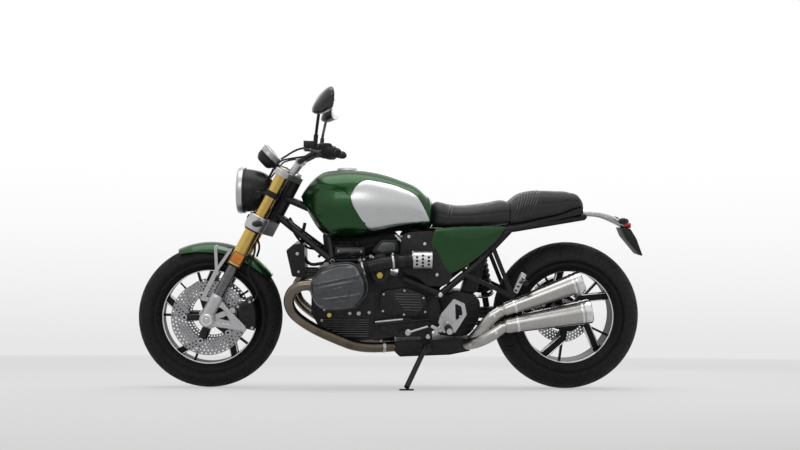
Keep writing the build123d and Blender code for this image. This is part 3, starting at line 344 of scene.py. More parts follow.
def leatheretteFinish(name, dark, light):
    # fine closed cells of an embossed grain under a slow change of tone
    material, tree, shader, place = newFinish(name)
    cells = tree.nodes.new("ShaderNodeTexVoronoi")
    cells.feature = "DISTANCE_TO_EDGE"
    cells.inputs["Scale"].default_value = 650.0
    tree.links.new(place, cells.inputs["Vector"])
    tree.links.new(addColours(tree, addNoise(tree, place, 25.0), dark, light), shader.inputs["Base Color"])
    tree.links.new(addRange(tree, addNoise(tree, place, 90.0), 0.5, 0.62), shader.inputs["Roughness"])
    tree.links.new(addBump(tree, addRange(tree, cells.outputs["Distance"], 0.0, 1.0, 0.0, 0.25), 0.35, 0.0003), shader.inputs["Normal"])
    shader.inputs["Specular IOR Level"].default_value = 0.35
    return material


def metallicPaint(name, dark, light):
    # tiny flakes lighten the base coat under a clear coat
    material, tree, shader, place = newFinish(name)
    flakes = tree.nodes.new("ShaderNodeTexVoronoi")
    flakes.inputs["Scale"].default_value = 4200.0
    tree.links.new(place, flakes.inputs["Vector"])
    split = tree.nodes.new("ShaderNodeSeparateColor")
    tree.links.new(flakes.outputs["Color"], split.inputs["Color"])
    tree.links.new(addColours(tree, split.outputs["Red"], dark, light), shader.inputs["Base Color"])
    tree.links.new(addRange(tree, addNoise(tree, place, 30.0), 0.26, 0.34), shader.inputs["Roughness"])
    tree.links.new(addBump(tree, addNoise(tree, place, 900.0), 0.03, 0.00002), shader.inputs["Normal"])
    shader.inputs["Metallic"].default_value = 0.8
    shader.inputs["Coat Weight"].default_value = 0.4
    shader.inputs["Coat Roughness"].default_value = 0.03
    return material


def clearFinish(name, dark, light, roughness, weight):
    # a see-through lens or glass with faint moulding waves
    material, tree, shader, place = newFinish(name)
    waves = addNoise(tree, place, 180.0, 2.0)
    tree.links.new(addColours(tree, waves, dark, light), shader.inputs["Base Color"])
    tree.links.new(addRange(tree, waves, roughness, roughness + 0.04), shader.inputs["Roughness"])
    tree.links.new(addBump(tree, waves, 0.05, 0.0002), shader.inputs["Normal"])
    shader.inputs["Transmission Weight"].default_value = weight
    shader.inputs["IOR"].default_value = 1.45
    return material


green = metallicPaint("darkGreenMetallic", (0.003, 0.024, 0.004), (0.011, 0.075, 0.014))
silverPaint = metallicPaint("silverPanelPaint", (0.44, 0.45, 0.45), (0.54, 0.55, 0.55))
satinBlack = finish("satinBlackPaint", (0.008, 0.008, 0.009), (0.016, 0.016, 0.017), 0.2, 0.36, depth=0.00003, specular=0.25)
wheelBlack = finish("wheelBlackPaint", (0.006, 0.006, 0.007), (0.012, 0.012, 0.013), 0.1, 0.42, depth=0.00003, specular=0.14)
machined = finish("machinedAluminium", (0.55, 0.55, 0.56), (0.72, 0.72, 0.73), 1.0, 0.2, grain=300.0, stretch=(1, 30, 1), depth=0.00002)
satinSilver = finish("satinAluminium", (0.43, 0.43, 0.44), (0.49, 0.49, 0.5), 0.9, 0.34, scale=90.0, grain=700.0, depth=0.00003)
castMetal = finish("darkCastMetal", (0.012, 0.012, 0.013), (0.021, 0.021, 0.022), 0.4, 0.46, scale=60.0, grain=900.0, bump=0.35, depth=0.00008, specular=0.3)
coverGrey = finish("coverGreyMetallic", (0.045, 0.047, 0.05), (0.07, 0.072, 0.076), 0.8, 0.3, scale=50.0, grain=1100.0, bump=0.12, coat=0.3, depth=0.00003)
finBlack = finish("finBlackCoat", (0.012, 0.012, 0.013), (0.026, 0.026, 0.027), 0.4, 0.5, grain=900.0, bump=0.3, depth=0.00006, specular=0.3)
gold = finish("goldAnodised", (0.52, 0.35, 0.095), (0.58, 0.4, 0.115), 1.0, 0.25, grain=500.0, stretch=(1, 1, 0.05), depth=0.000005, scale=25.0)
chrome = finish("brightChrome", (0.7, 0.7, 0.71), (0.8, 0.8, 0.81), 1.0, 0.08, bump=0.02, spread=0.03, depth=0.00001)
discSteel = finish("groundDiscSteel", (0.28, 0.28, 0.29), (0.34, 0.34, 0.35), 1.0, 0.32, scale=120.0, grain=260.0, bump=0.1, spread=0.05, depth=0.00003)
tyreRubber = finish("tyreRubber", (0.006, 0.006, 0.0065), (0.013, 0.013, 0.0135), 0.0, 0.66, grain=900.0, bump=0.3, depth=0.0001, specular=0.16)
gripRubber = finish("gripRubber", (0.007, 0.007, 0.007), (0.014, 0.014, 0.014), 0.0, 0.72, grain=1200.0, bump=0.35, depth=0.0003, specular=0.2)
blackPlastic = finish("grainedBlackPlastic", (0.009, 0.009, 0.0095), (0.018, 0.018, 0.019), 0.0, 0.5, grain=1400.0, bump=0.3, depth=0.00006, specular=0.22)
glossBlack = finish("glossBlackPlastic", (0.01, 0.01, 0.011), (0.02, 0.02, 0.022), 0.0, 0.16, grain=600.0, bump=0.03, spread=0.04, depth=0.00001)
brushed = finish("brushedSilencerSteel", (0.37, 0.36, 0.345), (0.42, 0.41, 0.395), 1.0, 0.27, scale=30.0, grain=700.0, stretch=(0.06, 1, 1), bump=0.06, spread=0.02, depth=0.000005)
tinted = finish("heatTintedSteel", (0.095, 0.076, 0.055), (0.17, 0.15, 0.125), 1.0, 0.27, scale=9.0, grain=300.0, bump=0.04, depth=0.00001)
leatherette = leatheretteFinish("seatLeatherette", (0.009, 0.009, 0.01), (0.018, 0.018, 0.019))
stitchThread = finish("seatThread", (0.2, 0.2, 0.2), (0.3, 0.3, 0.3), 0.0, 0.7, grain=2500.0, bump=0.4)
lampGlass = clearFinish("clearLampGlass", (0.9, 0.92, 0.93), (1, 1, 1), 0.02, 1.0)
redLens = clearFinish("redLampLens", (0.5, 0.01, 0.01), (0.75, 0.03, 0.02), 0.08, 0.35)
amberLens = clearFinish("amberReflectorLens", (0.75, 0.2, 0.01), (0.95, 0.32, 0.03), 0.12, 0.3)
smokedLens = clearFinish("smokedIndicatorLens", (0.02, 0.015, 0.012), (0.04, 0.03, 0.022), 0.1, 0.3)
darkChrome = finish("darkChromeTube", (0.11, 0.11, 0.115), (0.17, 0.17, 0.175), 1.0, 0.16, scale=80.0, bump=0.03, depth=0.00001)
mirrorGlass = finish("mirrorGlass", (0.8, 0.81, 0.82), (0.86, 0.87, 0.88), 1.0, 0.035, bump=0.01, spread=0.015, depth=0.000005)
dialWhite = finish("dialMarkPaint", (0.55, 0.55, 0.54), (0.75, 0.75, 0.73), 0.0, 0.5)
needleRed = finish("needlePaint", (0.5, 0.03, 0.02), (0.65, 0.06, 0.03), 0.0, 0.4)

nodeFinishes = {
    "front_tyre": tyreRubber, "rear_tyre": tyreRubber, "front_rim": wheelBlack, "rear_rim": wheelBlack,
    "front_discs": discSteel, "rear_disc": discSteel, "fork_tubes": gold, "fork_stanchions": darkChrome,
    "fork_feet": satinSilver, "front_axle": satinSilver, "front_calipers": satinBlack, "yokes": satinSilver,
    "handlebar": satinBlack, "risers": satinSilver, "grips": gripRubber, "controls": blackPlastic,
    "mirrors": glossBlack, "headlamp_bowl": satinBlack, "headlamp_ring": chrome, "headlamp_glass": lampGlass,
    "instrument": blackPlastic, "front_fender": green, "fender_stays": satinSilver, "front_indicators": smokedLens,
    "main_frame": satinBlack, "rear_frame": satinBlack, "engine_case": castMetal, "cylinders": finBlack,
    "head_covers": coverGrey, "oil_cooler": satinBlack, "airbox": blackPlastic, "intakes": satinBlack,
    "intake_sleeves": satinSilver, "fuel_tank": green, "filler_cap": satinSilver, "rider_seat": leatherette,
    "pillion_seat": leatherette, "side_covers": green, "tail_carrier": satinSilver, "tail_lamp": redLens,
    "rear_indicators": smokedLens, "exhaust_headers": tinted, "collector": satinBlack, "silencers": brushed,
    "swingarm": satinBlack, "torque_arm": satinBlack, "rear_shock": satinBlack, "rear_caliper": satinBlack,
    "footrest_left": satinSilver, "footrest_right": satinSilver, "pillion_rests": satinBlack,
    "side_stand": satinBlack, "stand_bracket": satinBlack, "brake_hoses": gripRubber}
for nodeName, node in nodes.items():
    node.data.materials.clear()
    node.data.materials.append(nodeFinishes[nodeName])
print("finishes ready:", len(bpy.data.materials))


# Fuel tank, its silver side panels and its cap

tank = {
    "top": [(584, 792), (592, 812), (610, 831), (636, 853), (722, 891), (829, 920), (936, 928), (1000, 922), (1054, 909), (1095, 876), (1120, 845), (1134, 822), (1138, 812)],
    "bottom": [(584, 700), (592, 686), (650, 680), (721, 670), (825, 644), (950, 630), (1020, 638), (1062, 674), (1109, 749), (1130, 786), (1138, 808)],
    "half": [(584, 86), (592, 104), (612, 118), (660, 134), (760, 152), (870, 163), (970, 160), (1045, 134), (1095, 92), (1122, 62), (1138, 34)],
    "widest": 0.42, "upperPower": 0.84, "lowerPower": 0.5, "sidePower": 0.86,
    "capX": 945, "capRadius": 40, "panelLift": 1.4}


def tankSection(x):
    top, bottom = curveValue(x, tank["top"]), curveValue(x, tank["bottom"])
    middle = bottom + tank["widest"] * (top - bottom)
    return top, bottom, middle, curveValue(x, tank["half"])


def tankSide(x, z):
    # the tank's half width at a height: a superellipse above and below its widest line
    top, bottom, middle, half = tankSection(x)
    share = np.where(z > middle, (z - middle) / (top - middle), (middle - z) / (middle - bottom))
    power = np.where(z > middle, tank["upperPower"], tank["lowerPower"])
    return half * np.maximum(1 - np.clip(share, 0, 1)**(2 / power), 0)**(tank["sidePower"] / 2)


def buildTank():
    # section by section along X: y = half |cos|^side, z = middle +- height |sin|^power
    along = np.linspace(0, math.pi, 150)
    x = 861 - 277 * np.cos(along)
    turn = np.linspace(0, 2 * math.pi, 160, endpoint=False)
    top, bottom, middle, half = (value[:, None] for value in tankSection(x))
    wave, rise = np.cos(turn)[None], np.sin(turn)[None]
    y = half * np.sign(wave) * np.abs(wave)**tank["sidePower"]
    z = np.where(rise > 0, middle + (top - middle) * np.abs(rise)**tank["upperPower"], middle - (middle - bottom) * np.abs(rise)**tank["lowerPower"])
    grid = np.stack([np.broadcast_to(x[:, None], y.shape), y, z], -1)
    makePiece("tankShell", sheetShape(grid, loopV=True, capped=True), green, "chassis", sharp=60, replaced=["fuel_tank"])
    seam = np.linspace(math.pi * 0.1, math.pi * 0.86, 80)  # the welded seam along the lower edge
    seamX = 861 - 277 * np.cos(seam)
    seamTop, seamBottom, seamMiddle, seamHalf = tankSection(seamX)
    seamZ = seamBottom + 0.07 * (seamMiddle - seamBottom)
    path = np.stack([seamX, tankSide(seamX, seamZ) + 0.6, seamZ], -1)
    makePiece("tankSeams", bothSides(tubeShape(path, 2.2, 8)), satinBlack, "chassis")


def domedPanel(outline, side, thickness, rim=1.0, rings=14, dome=0.0):
    # rings of the outline shrunk to its middle, set off from side(x, z) by the thickness and a dome (1 - r^2)
    outline = np.asarray(outline, float)
    middle = outline.mean(0)
    r = np.concatenate([np.linspace(0.02, 1, rings), [1.0], np.linspace(1, 0.02, rings) - 0.012 * (np.linspace(1, 0.02, rings) > 0.9)])
    lift = np.concatenate([np.full(rings, -1.0), [0.0], np.full(rings, thickness)])
    lift[rings + 1] = thickness - rim
    flat = middle + r[:, None, None] * (outline - middle)
    y = side(flat[..., 0], flat[..., 1]) + lift[:, None] + dome * (1 - r[:, None]**2) * (lift[:, None] > 0)
    return sheetShape(np.stack([flat[..., 0], y, flat[..., 1]], -1), loopV=True, capped=True)


def tankPanels():
    outline = roundedOutline([
        (931, 815), (919, 844), (903, 865), (880, 882), (858, 887), (808, 879), (747, 866), (685, 842), (651, 822),
        (630, 788), (609, 748), (594, 714), (682, 707), (752, 694), (805, 681), (840, 675), (858, 688), (889, 731),
        (918, 778)], 14, 5)
    panel = domedPanel(outline, tankSide, tank["panelLift"], rim=0.9)
    makePiece("tankPanels", bothSides(panel), silverPaint, "chassis", sharp=50)
    edge = np.vstack([outline, outline[:2]])
    line = np.stack([edge[:, 0], tankSide(edge[:, 0], edge[:, 1]) + 0.5, edge[:, 1]], -1)
    makePiece("panelLines", bothSides(tubeShape(line, 1.2, 6)), satinBlack, "chassis")


def buildCap():
    # a low turned cap with six screws round its rim
    x = tank["capX"]
    z = float(curveValue(np.array([x]), tank["top"])[0])
    r = tank["capRadius"]
    profile = [(-8, r + 5), (1.5, r + 5), (3, r + 3), (3, r), (6, r - 1), (7.5, r - 4), (7.5, r - 9), (6, r - 11), (6.4, 2)]
    shapes = [lathe([(-8, 2)] + profile, (x, 0, z - 1), (0.02, 0, 1), 96, closed=False)]
    for k in range(6):
        turn = k * math.pi / 3
        shapes.append(boltShape((x + (r + 0.5) * math.cos(turn), (r + 0.5) * math.sin(turn), z + 1.6), (0, 0, 1), 2.6, 2.2))
    makePiece("fuelCap", joinShapes(shapes), satinSilver, "chassis", replaced=["filler_cap"])


buildTank()
tankPanels()
buildCap()
print("tank built")

# Seats: crowned pads with sewn seams

seat = {
    "riderTop": [(262, 800), (278, 805), (341, 796), (405, 786), (464, 781), (511, 785), (545, 793), (566, 795), (580, 786), (588, 772)],
    "riderBottom": [(262, 706), (304, 698), (380, 694), (470, 690), (560, 688), (580, 694), (588, 706)],
    "riderHalf": [(262, 104), (300, 112), (380, 121), (470, 120), (540, 104), (575, 84), (588, 66)],
    "pillionTop": [(-57, 797), (-52, 812), (-43, 826), (0, 845), (60, 849), (107, 850), (160, 848), (190, 842), (214, 834), (240, 816), (258, 800)],
    "pillionBottom": [(-57, 788), (-46, 776), (-10, 764), (48, 742), (133, 722), (200, 706), (262, 697)],
    "pillionHalf": [(-57, 62), (-40, 82), (0, 95), (100, 103), (200, 106), (240, 106), (258, 100)],
    "seamWidth": 3.2, "seamDepth": 3.4, "crown": 0.62, "sag": 4.0}


def seatGrid(top, bottom, half, low, high, seams, count=200):
    # superellipse sections with a flat sewn edge line; a seam pulls the skin in by depth exp(-(d/w)^2)
    along = np.linspace(0, math.pi, count)
    x = (low + high) / 2 - (high - low) / 2 * np.cos(along)
    turn = np.linspace(0, 2 * math.pi, 144, endpoint=False)
    upper, lower, wide = (curveValue(x, seat[key])[:, None] for key in (top, bottom, half))
    middle = lower + 0.45 * (upper - lower)
    wave, rise = np.cos(turn)[None], np.sin(turn)[None]
    y = wide * np.sign(wave) * np.abs(wave)**seat["crown"]
    z = np.where(rise > 0, middle + (upper - middle) * np.abs(rise)**0.72, middle - (middle - lower) * np.abs(rise)**0.45)
    piping = np.exp(-((z - middle - 0.12 * (upper - lower)) / 4)**2)  # the sewn line where top and side meet
    pull = 1.0 + 0 * y
    pull = pull - 0.02 * piping
    grid = np.stack([np.broadcast_to(x[:, None], y.shape), y * pull, z], -1)
    groove = np.zeros(y.shape)
    for seamX, slant in seams:
        away = grid[..., 0] - seamX - slant * (grid[..., 2] - middle)
        groove = groove + np.exp(-(away / seat["seamWidth"])**2)
    above = (rise > -0.1) * groove * seat["seamDepth"]
    grid[..., 2] -= above * np.clip(rise, 0, 1)
    grid[..., 1] -= above * np.sign(wave) * np.abs(wave)**2
    return grid


def stitchLine(x, slant, top, bottom, half, gap=2.6):
    # short thread dashes on both sides of a seam, over the top, each on the skin at its own place along X
    turn = np.linspace(0.12, math.pi - 0.12, 60)
    shapes = []
    for side in (-1, 1):
        place = np.full(turn.shape, float(x))
        for _ in range(4):
            upper, lower, wide = (curveValue(place, seat[key]) for key in (top, bottom, half))
            middle = lower + 0.45 * (upper - lower)
            z = middle + (upper - middle) * np.sin(turn)**0.72
            place = x + side * (seat["seamWidth"] + gap) + slant * (z - middle)
        y = wide * np.sign(np.cos(turn)) * np.abs(np.cos(turn))**seat["crown"]
        line = np.stack([place, y * 1.004, z + 0.3], -1)
        for k in range(len(turn) - 1):
            a, b = line[k], line[k] + (line[k + 1] - line[k]) * 0.66
            shapes.append(tubeShape(np.stack([a, (a + b) / 2, b]), 0.85, 4))
    return shapes


def buildSeats():
    riderSeams = [(520, -0.25)]
    pillionSeams = [(232, -0.3), (212, -0.36), (190, -0.4), (166, -0.42)]
    rider = seatGrid("riderTop", "riderBottom", "riderHalf", 262, 588, riderSeams)
    pillion = seatGrid("pillionTop", "pillionBottom", "pillionHalf", -57, 258, pillionSeams)
    for name, grid, node in (("riderSeatPad", rider, "rider_seat"), ("pillionSeatPad", pillion, "pillion_seat")):
        piece = makePiece(name, sheetShape(grid, loopV=True, capped=True), leatherette, "chassis", sharp=60, replaced=[node])
    threads = []
    for x, slant in riderSeams:
        threads += stitchLine(x, slant, "riderTop", "riderBottom", "riderHalf")
    for x, slant in pillionSeams:
        threads += stitchLine(x, slant, "pillionTop", "pillionBottom", "pillionHalf")
    makePiece("seatStitching", joinShapes(threads), stitchThread, "chassis")


buildSeats()
print("seats built")

# Side covers

sideCover = {"y": 149, "dome": 7, "outline": [
    (577, 688), (474, 697), (370, 700), (280, 700), (305, 662), (329, 632), (389, 577), (451, 531), (492, 508),
    (515, 502), (551, 551), (583, 602), (597, 628)]}


def buildSideCovers():
    outline = roundedOutline(sideCover["outline"], 12, 5)
    panel = domedPanel(outline, lambda x, z: np.full(x.shape, float(sideCover["y"])), 2.5, rim=1.5, dome=sideCover["dome"])
    pins = [barShape((x, 108, z), (x, sideCover["y"], z), 6) for x, z in ((430, 668), (540, 640))]
    makePiece("sideCoverPanels", bothSides(joinShapes([panel] + pins)), green, "chassis", sharp=50, replaced=["side_covers"])


buildSideCovers()


# Head covers

headCover = {
    "start": 270.6, "outline": [
        (1082, 440), (1080, 474), (1064, 504), (1036, 530), (985, 554), (925, 559), (896, 548), (872, 520),
        (853, 484), (850, 436), (866, 410), (901, 372), (961, 362), (1022, 364), (1054, 380), (1074, 412)],
    "ridges": [((1067, 470), (871, 511)), ((1059, 407), (858, 436))]}


def buildHeadCovers():
    # rings of the outline shrink inwards while the cover rises as a tapered cushion; two raised ridges
    # run along it, and the face above the upper one leans back: y falls by 0.5 of the rise over it
    outline = roundedOutline(headCover["outline"], 14, 5)
    middle = outline.mean(0)
    rise = [(1.0, 0), (1.0, 11), (0.99, 13), (0.965, 13.4), (0.958, 15), (0.955, 24), (0.935, 36), (0.905, 46), (0.865, 54), (0.81, 60)]
    inner = [(r, 60 + 12 * (0.81**2 - r**2)) for r in np.linspace(0.79, 0.02, 40)]
    r = np.array([pair[0] for pair in rise + inner])
    y = np.array([pair[1] for pair in rise + inner])
    flat = middle + r[:, None, None] * (outline - middle)
    fade = np.clip((0.93 - r[:, None]) / 0.1, 0, 1)
    height = headCover["start"] + y[:, None] + 0 * flat[..., 0]
    for number, ((x1, z1), (x2, z2)) in enumerate(headCover["ridges"]):
        over = flat[..., 1] - z1 - (z2 - z1) / (x2 - x1) * (flat[..., 0] - x1)
        height += fade * (3.6 * np.exp(-(over / 3.0)**2) - 2.4 * np.exp(-((over + 9) / 7.0)**2))
        for away in (-26, -44) if number else (-30, -46):
            height -= 0.8 * fade * np.exp(-((over - away) / 1.6)**2)
        if number == 0:
            height -= 0.5 * fade * np.maximum(over - 3, 0)
    grid = np.stack([flat[..., 0], height, flat[..., 1]], -1)
    cover = sheetShape(grid, loopV=True, capped=True)
    makePiece("headCoverShells", bothSides(cover), coverGrey, "chassis", sharp=38, replaced=["head_covers"])
    screws = []
    for place in ((1066, 434), (1050, 506), (955, 548), (868, 498), (884, 402), (1012, 374)):
        away = np.array(place) - middle
        spot = middle + away * 0.985
        screws.append(boltShape((spot[0], headCover["start"] + 12, spot[1]), (0, 1, 0), 5, 6))
    makePiece("headCoverScrews", bothSides(joinShapes(screws)), satinSilver, "chassis")


buildHeadCovers()
print("engine covers built")


# Tyres with a cut tread

tyre = {
    "front": {"centre": frontHub, "radius": 300, "crown": 62, "width": 120, "rim": 104, "grooves": 22},
    "rear": {"centre": rearHubUp, "radius": 315, "crown": 95, "width": 180, "rim": 156, "grooves": 20},
    "beadRadius": 219.4, "grooveDepth": 3.2, "grooveWidth": 3.4, "sides": 620}


def buildTyre(key, name, body, node):
    # the crown arc, side walls and bead as one closed section turned round the axle; grooves sink the
    # crown where a slanted line across it passes, two per pitch, leaning opposite ways left and right
    size = tyre[key]
    crown, wide = size["crown"], size["width"] / 2
    middle = size["radius"] - crown
    edge = math.asin(wide / crown) if wide < crown else math.pi / 2 * 0.99
    bend = np.linspace(-edge, edge, 45)
    arc = np.stack([crown * np.sin(bend), middle + crown * np.cos(bend)], -1)
    bead = size["rim"] / 2 - 8
    low = tyre["beadRadius"]
    shoulder = arc[-1]
    wall = smoothPath([shoulder, (wide - 0.5, shoulder[1] - 6), (wide - 5, (shoulder[1] + low) / 2 + 4), (bead + 5, low + 14), (bead + 0.5, low + 5), (bead - 2, low)], 16)[1:]
    inside = smoothPath([(bead - 9, low), (bead - 8, low + 16), (wide - 14, middle + 12), (wide * 0.5, size["radius"] - 13), (0, size["radius"] - 9)], 12)
    half = np.vstack([wall, inside])
    section = np.vstack([arc, half, (half * np.array([-1, 1]))[::-1][1:]])
    count = len(arc)
    turn = np.linspace(0, 2 * math.pi, tyre["sides"], endpoint=False)
    axial = section[:, 0][:, None]
    radius = np.repeat(section[:, 1][:, None], len(turn), 1)
    share = np.abs(axial[:count]) / wide
    pitch = 2 * math.pi / size["grooves"]
    lag = np.where(axial[:count] > 0, 0.5, 0.0) * pitch
    phase = (turn[None] + lag + 0.42 * share * pitch * 2.2) % pitch
    reach = phase * size["radius"] - 0.5 * pitch * size["radius"]
    cut = np.exp(-(reach / tyre["grooveWidth"])**4) * (share > 0.1) * (share < 0.86)
    short = ((turn[None] + lag + 0.2 * pitch) % pitch) * size["radius"] - 0.5 * pitch * size["radius"] + 30 * share
    cut = np.maximum(cut, np.exp(-(short / tyre["grooveWidth"])**4) * (share > 0.55) * (share < 0.93))
    ring = np.exp(-((np.abs(axial[:count]) - 0.28 * wide) / 1.6)**4) * (np.sin(turn * size["grooves"])[None] > -0.2)
    sink = np.maximum(cut, ring * 0.8) * tyre["grooveDepth"]
    bent = np.sin(np.asarray(bend))[:, None]
    shift = np.zeros_like(radius)
    radius[:count] -= sink * np.cos(bend)[:, None]
    shift[:count] = sink * bent
    x = size["centre"][0] + radius * np.cos(turn)[None]
    z = size["centre"][2] + radius * np.sin(turn)[None]
    y = np.broadcast_to(axial, radius.shape) - shift
    grid = np.stack([x, y, z], -1)
    makePiece(name, sheetShape(grid, loopU=True, loopV=True), tyreRubber, body, sharp=28, replaced=[node])


buildTyre("front", "frontTyreTread", "front_wheel", "front_tyre")
buildTyre("rear", "rearTyreTread", "rear_wheel", "rear_tyre")


def wheelDress():
    # a bright turned line where each rim face meets its inner edge, and a valve
    for key, body, ringY in (("front", "front_wheel", 32.0), ("rear", "rear_wheel", 58.0)):
        centre = tyre[key]["centre"]
        rings = []
        for side in (-1, 1):
            at = side * ringY
            rings.append(lathe([(at - side * 3, 193.4), (at + side * 1.4, 193.4), (at + side * 2.2, 198.4), (at - side * 3, 198.4)], centre, (0, 1, 0), 160))
        makePiece(key + "RimLines", joinShapes(rings), machined, body)
        angle = math.radians(133)
        out = np.array([-math.cos(angle), 0, math.sin(angle)])
        foot = centre + out * 190
        makePiece(key + "Valve", joinShapes([barShape(foot, foot - out * 26, 3.6, 0.6, 12), barShape(foot - out * 26, foot - out * 34, 4.6, 0.8, 12)]), satinBlack, body)


wheelDress()
print("wheels dressed")


# Front wheel: drilled discs, painted highlights along the spoke edges, hub and calipers


def drilledDisc(inner, outer, rows, count, hole, centre, low, high):
    # each cell of a ring of rows x count cells runs from its sixteen edge points to a round hole's points
    band = (outer - inner) / rows
    corner = np.linspace(0, 1, 5)[:-1]
    edge = np.vstack([
        np.stack([corner, 0 * corner], -1), np.stack([0 * corner + 1, corner], -1),
        np.stack([1 - corner, 0 * corner + 1], -1), np.stack([0 * corner, 1 - corner], -1)])
    spin = np.arctan2(edge[:, 1] - 0.5, edge[:, 0] - 0.5)
    shapes = []
    step = 2 * math.pi / count
    for row in range(rows):
        middle = inner + band * (row + 0.5)
        for cell in range(count):
            angle = (cell + 0.5 * (row % 2)) * step
            radius = inner + band * (row + edge[:, 1])
            turn = angle + step * edge[:, 0]
            rim = np.stack([radius * np.cos(turn), radius * np.sin(turn)], -1)
            spot = np.array([math.cos(angle + step / 2), math.sin(angle + step / 2)])
            side = np.array([-spot[1], spot[0]])
            bore = middle * spot + hole * (np.cos(spin)[:, None] * side + np.sin(spin)[:, None] * spot)
            loops = [(rim, low), (bore, low), (bore, high), (rim, high)]
            grid = np.stack([np.stack([ring[:, 0], np.full(16, y), ring[:, 1]], -1) for ring, y in loops])
            shapes.append(sheetShape(grid + np.array([centre[0], 0, centre[2]]), loopV=True))
    points, faces = joinShapes(shapes)
    walls = [lathe([(low, r), (high, r)], (centre[0], 0, centre[2]), (0, 1, 0), count * 4, closed=False) for r in (inner, outer)]
    tubes = []
    for wallPoints, wallFaces in walls:
        tubes.append((wallPoints[:-2], [wallFaces[0]]))
    return joinShapes([(points, faces)] + tubes)


def buildDiscs():
    left = drilledDisc(90, 154.5, 5, 52, 3.6, frontHub, 67.5, 72.5)
    makePiece("frontDiscRings", bothSides(left), discSteel, "front_wheel", sharp=30, replaced=["front_discs"])
    rear = drilledDisc(84, 131.5, 4, 48, 3.6, rearHubUp, -92.5, -87.5)
    makePiece("rearDiscRing", rear, discSteel, "rear_wheel", sharp=30, replaced=["rear_disc"])


def wheelPlace(centre, radius, angle, y):
    # a place on a wheel from its radius and its angle, forward and up
    turn = math.radians(angle)
    return np.array([centre[0] + radius * math.cos(turn), y, centre[2] + radius * math.sin(turn)])


def paintedSpokeHighlights(key, first):
    # a thin bright line along both edges of every kinked spoke, on both faces of the wheel: a painted highlight where
    # the spoke edges catch the light
    centre = tyre[key]["centre"]
    shapes = []
    for k in range(5):
        knee, end = (wheelPlace(centre, r, angle + 72 * k, 0) for r, angle in ((100, first - 21), (191, first)))
        along = unit(end - knee)
        across = np.array([-along[2], 0, along[0]])
        for shift in (-14.8, 14.8):
            for y in (-12.2, 12.2):
                a, b = knee + across * shift + (0, y, 0), end + across * shift + (0, y, 0)
                shapes.append(tubeShape(np.stack([a, (a + b) / 2, b]), 2.6, 8))
    return shapes


def discCarriers():
    # black arms from the hub out to the disc bolts
    arms = []
    for side in (1, -1):
        for k in range(5):
            a, b = wheelPlace(frontHub, 40, 145 + 72 * k, 0), wheelPlace(frontHub, 102, 145 + 72 * k, 0)
            along = unit(b - a)
            across = np.array([-along[2], 0, along[0]])
            corners = [(a + across * 13)[[0, 2]], (b + across * 13)[[0, 2]], (b + along * 12)[[0, 2]], (b - across * 13)[[0, 2]], (a - across * 13)[[0, 2]]]
            low, high = sorted((side * 58, side * 73.2))
            arms.append(closedPlate(roundedOutline(corners, 9, 4), low, high, 2.0))
    makePiece("discCarriers", joinShapes(arms), satinBlack, "front_wheel")


def frontHardware():
    bolts = []
    for side in (1, -1):
        for k in range(5):
            spot = wheelPlace(frontHub, 100, 166 - 21 + 72 * k, side * 60.8)
            bolts.append(lathe([(0, 2), (0, 12), (12, 12), (13, 11), (13, 6), (10, 5.5)], spot, (0, side, 0), 20, closed=False))
        hub = frontHub + (0, side * 49, 0)
        bolts.append(lathe([(0, 20), (0, 44), (3, 46), (7, 46), (8, 43), (8, 36), (5, 35), (5, 20)], hub, (0, side, 0), 72))
        for k in range(30):
            spot = wheelPlace(frontHub, 40.5, 12 * k, side * 56.5)
            bolts.append(barShape(spot, spot + (0, side * 1.6, 0), 2.6, 0.4, 8))
    makePiece("frontWheelBrights", joinShapes(bolts), satinSilver, "front_wheel")
    axle = []
    for side in (1, -1):
        spot = frontHub + (0, side * 132, 0)
        axle.append(lathe([(-4, 4), (-4, 24), (2, 24), (4, 22), (4, 13), (-1, 12), (-1, 4)], spot, (0, side, 0), 48, closed=False))
        axle.append(lathe([(-2, 3), (-2, 10), (5, 10), (6, 9), (6, 6), (2, 5.6)], spot, (0, side, 0), 6, closed=False))
    makePiece("frontAxleCaps", joinShapes(axle), machined, "steering")


def footCastings():
    # a cast leg with a triangular caliper arm, seen from the side, and the two caliper mounts
    frames, holes = [], []
    outline = roundedOutline([(1531, 310), (1516, 274), (1420, 262), (1352, 250), (1350, 268), (1430, 348), (1462, 392), (1482, 372), (1512, 340)], 12, 5)
    inner = roundedOutline([(1492, 322), (1480, 288), (1412, 281), (1442, 336), (1462, 352)], 8, 5)
    for side in (1, -1):
        for low, high in ((98, 116),):
            ys = (side * low, side * high)
            rings = []
            for loop, inset, y in (
                    (inner, -1.5, ys[0]), (outline, 1.5, ys[0]), (outline, 0, ys[0] + side * 2), (outline, 0, ys[1] - side * 2),
                    (outline, 2, ys[1]), (inner, -2, ys[1]), (inner, 0, ys[1] - side * 2), (inner, 0, ys[0] + side * 2)):
                flat = insetOutline(resample(loop, 72), inset)
                rings.append(np.stack([flat[:, 0], np.full(72, float(y)), flat[:, 1]], -1))
            frames.append(sheetShape(np.stack(rings), loopU=True, loopV=True))
        frames.append(lathe([(0, 12), (0, 31), (12, 31), (15, 28), (15, 14), (9, 12)], frontHub + (0, side * 113, 0), (0, side, 0), 56))
        cup = [(0, 20), (0, 26.5), (58, 27.5), (86, 29.5), (98, 29.5), (102, 27), (102, 21)]
        frames.append(lathe(cup, forkPoint(8, 7, side * 105), forkUp, 64))
    makePiece("forkFootCastings", joinShapes(frames), satinSilver, "steering", sharp=32)


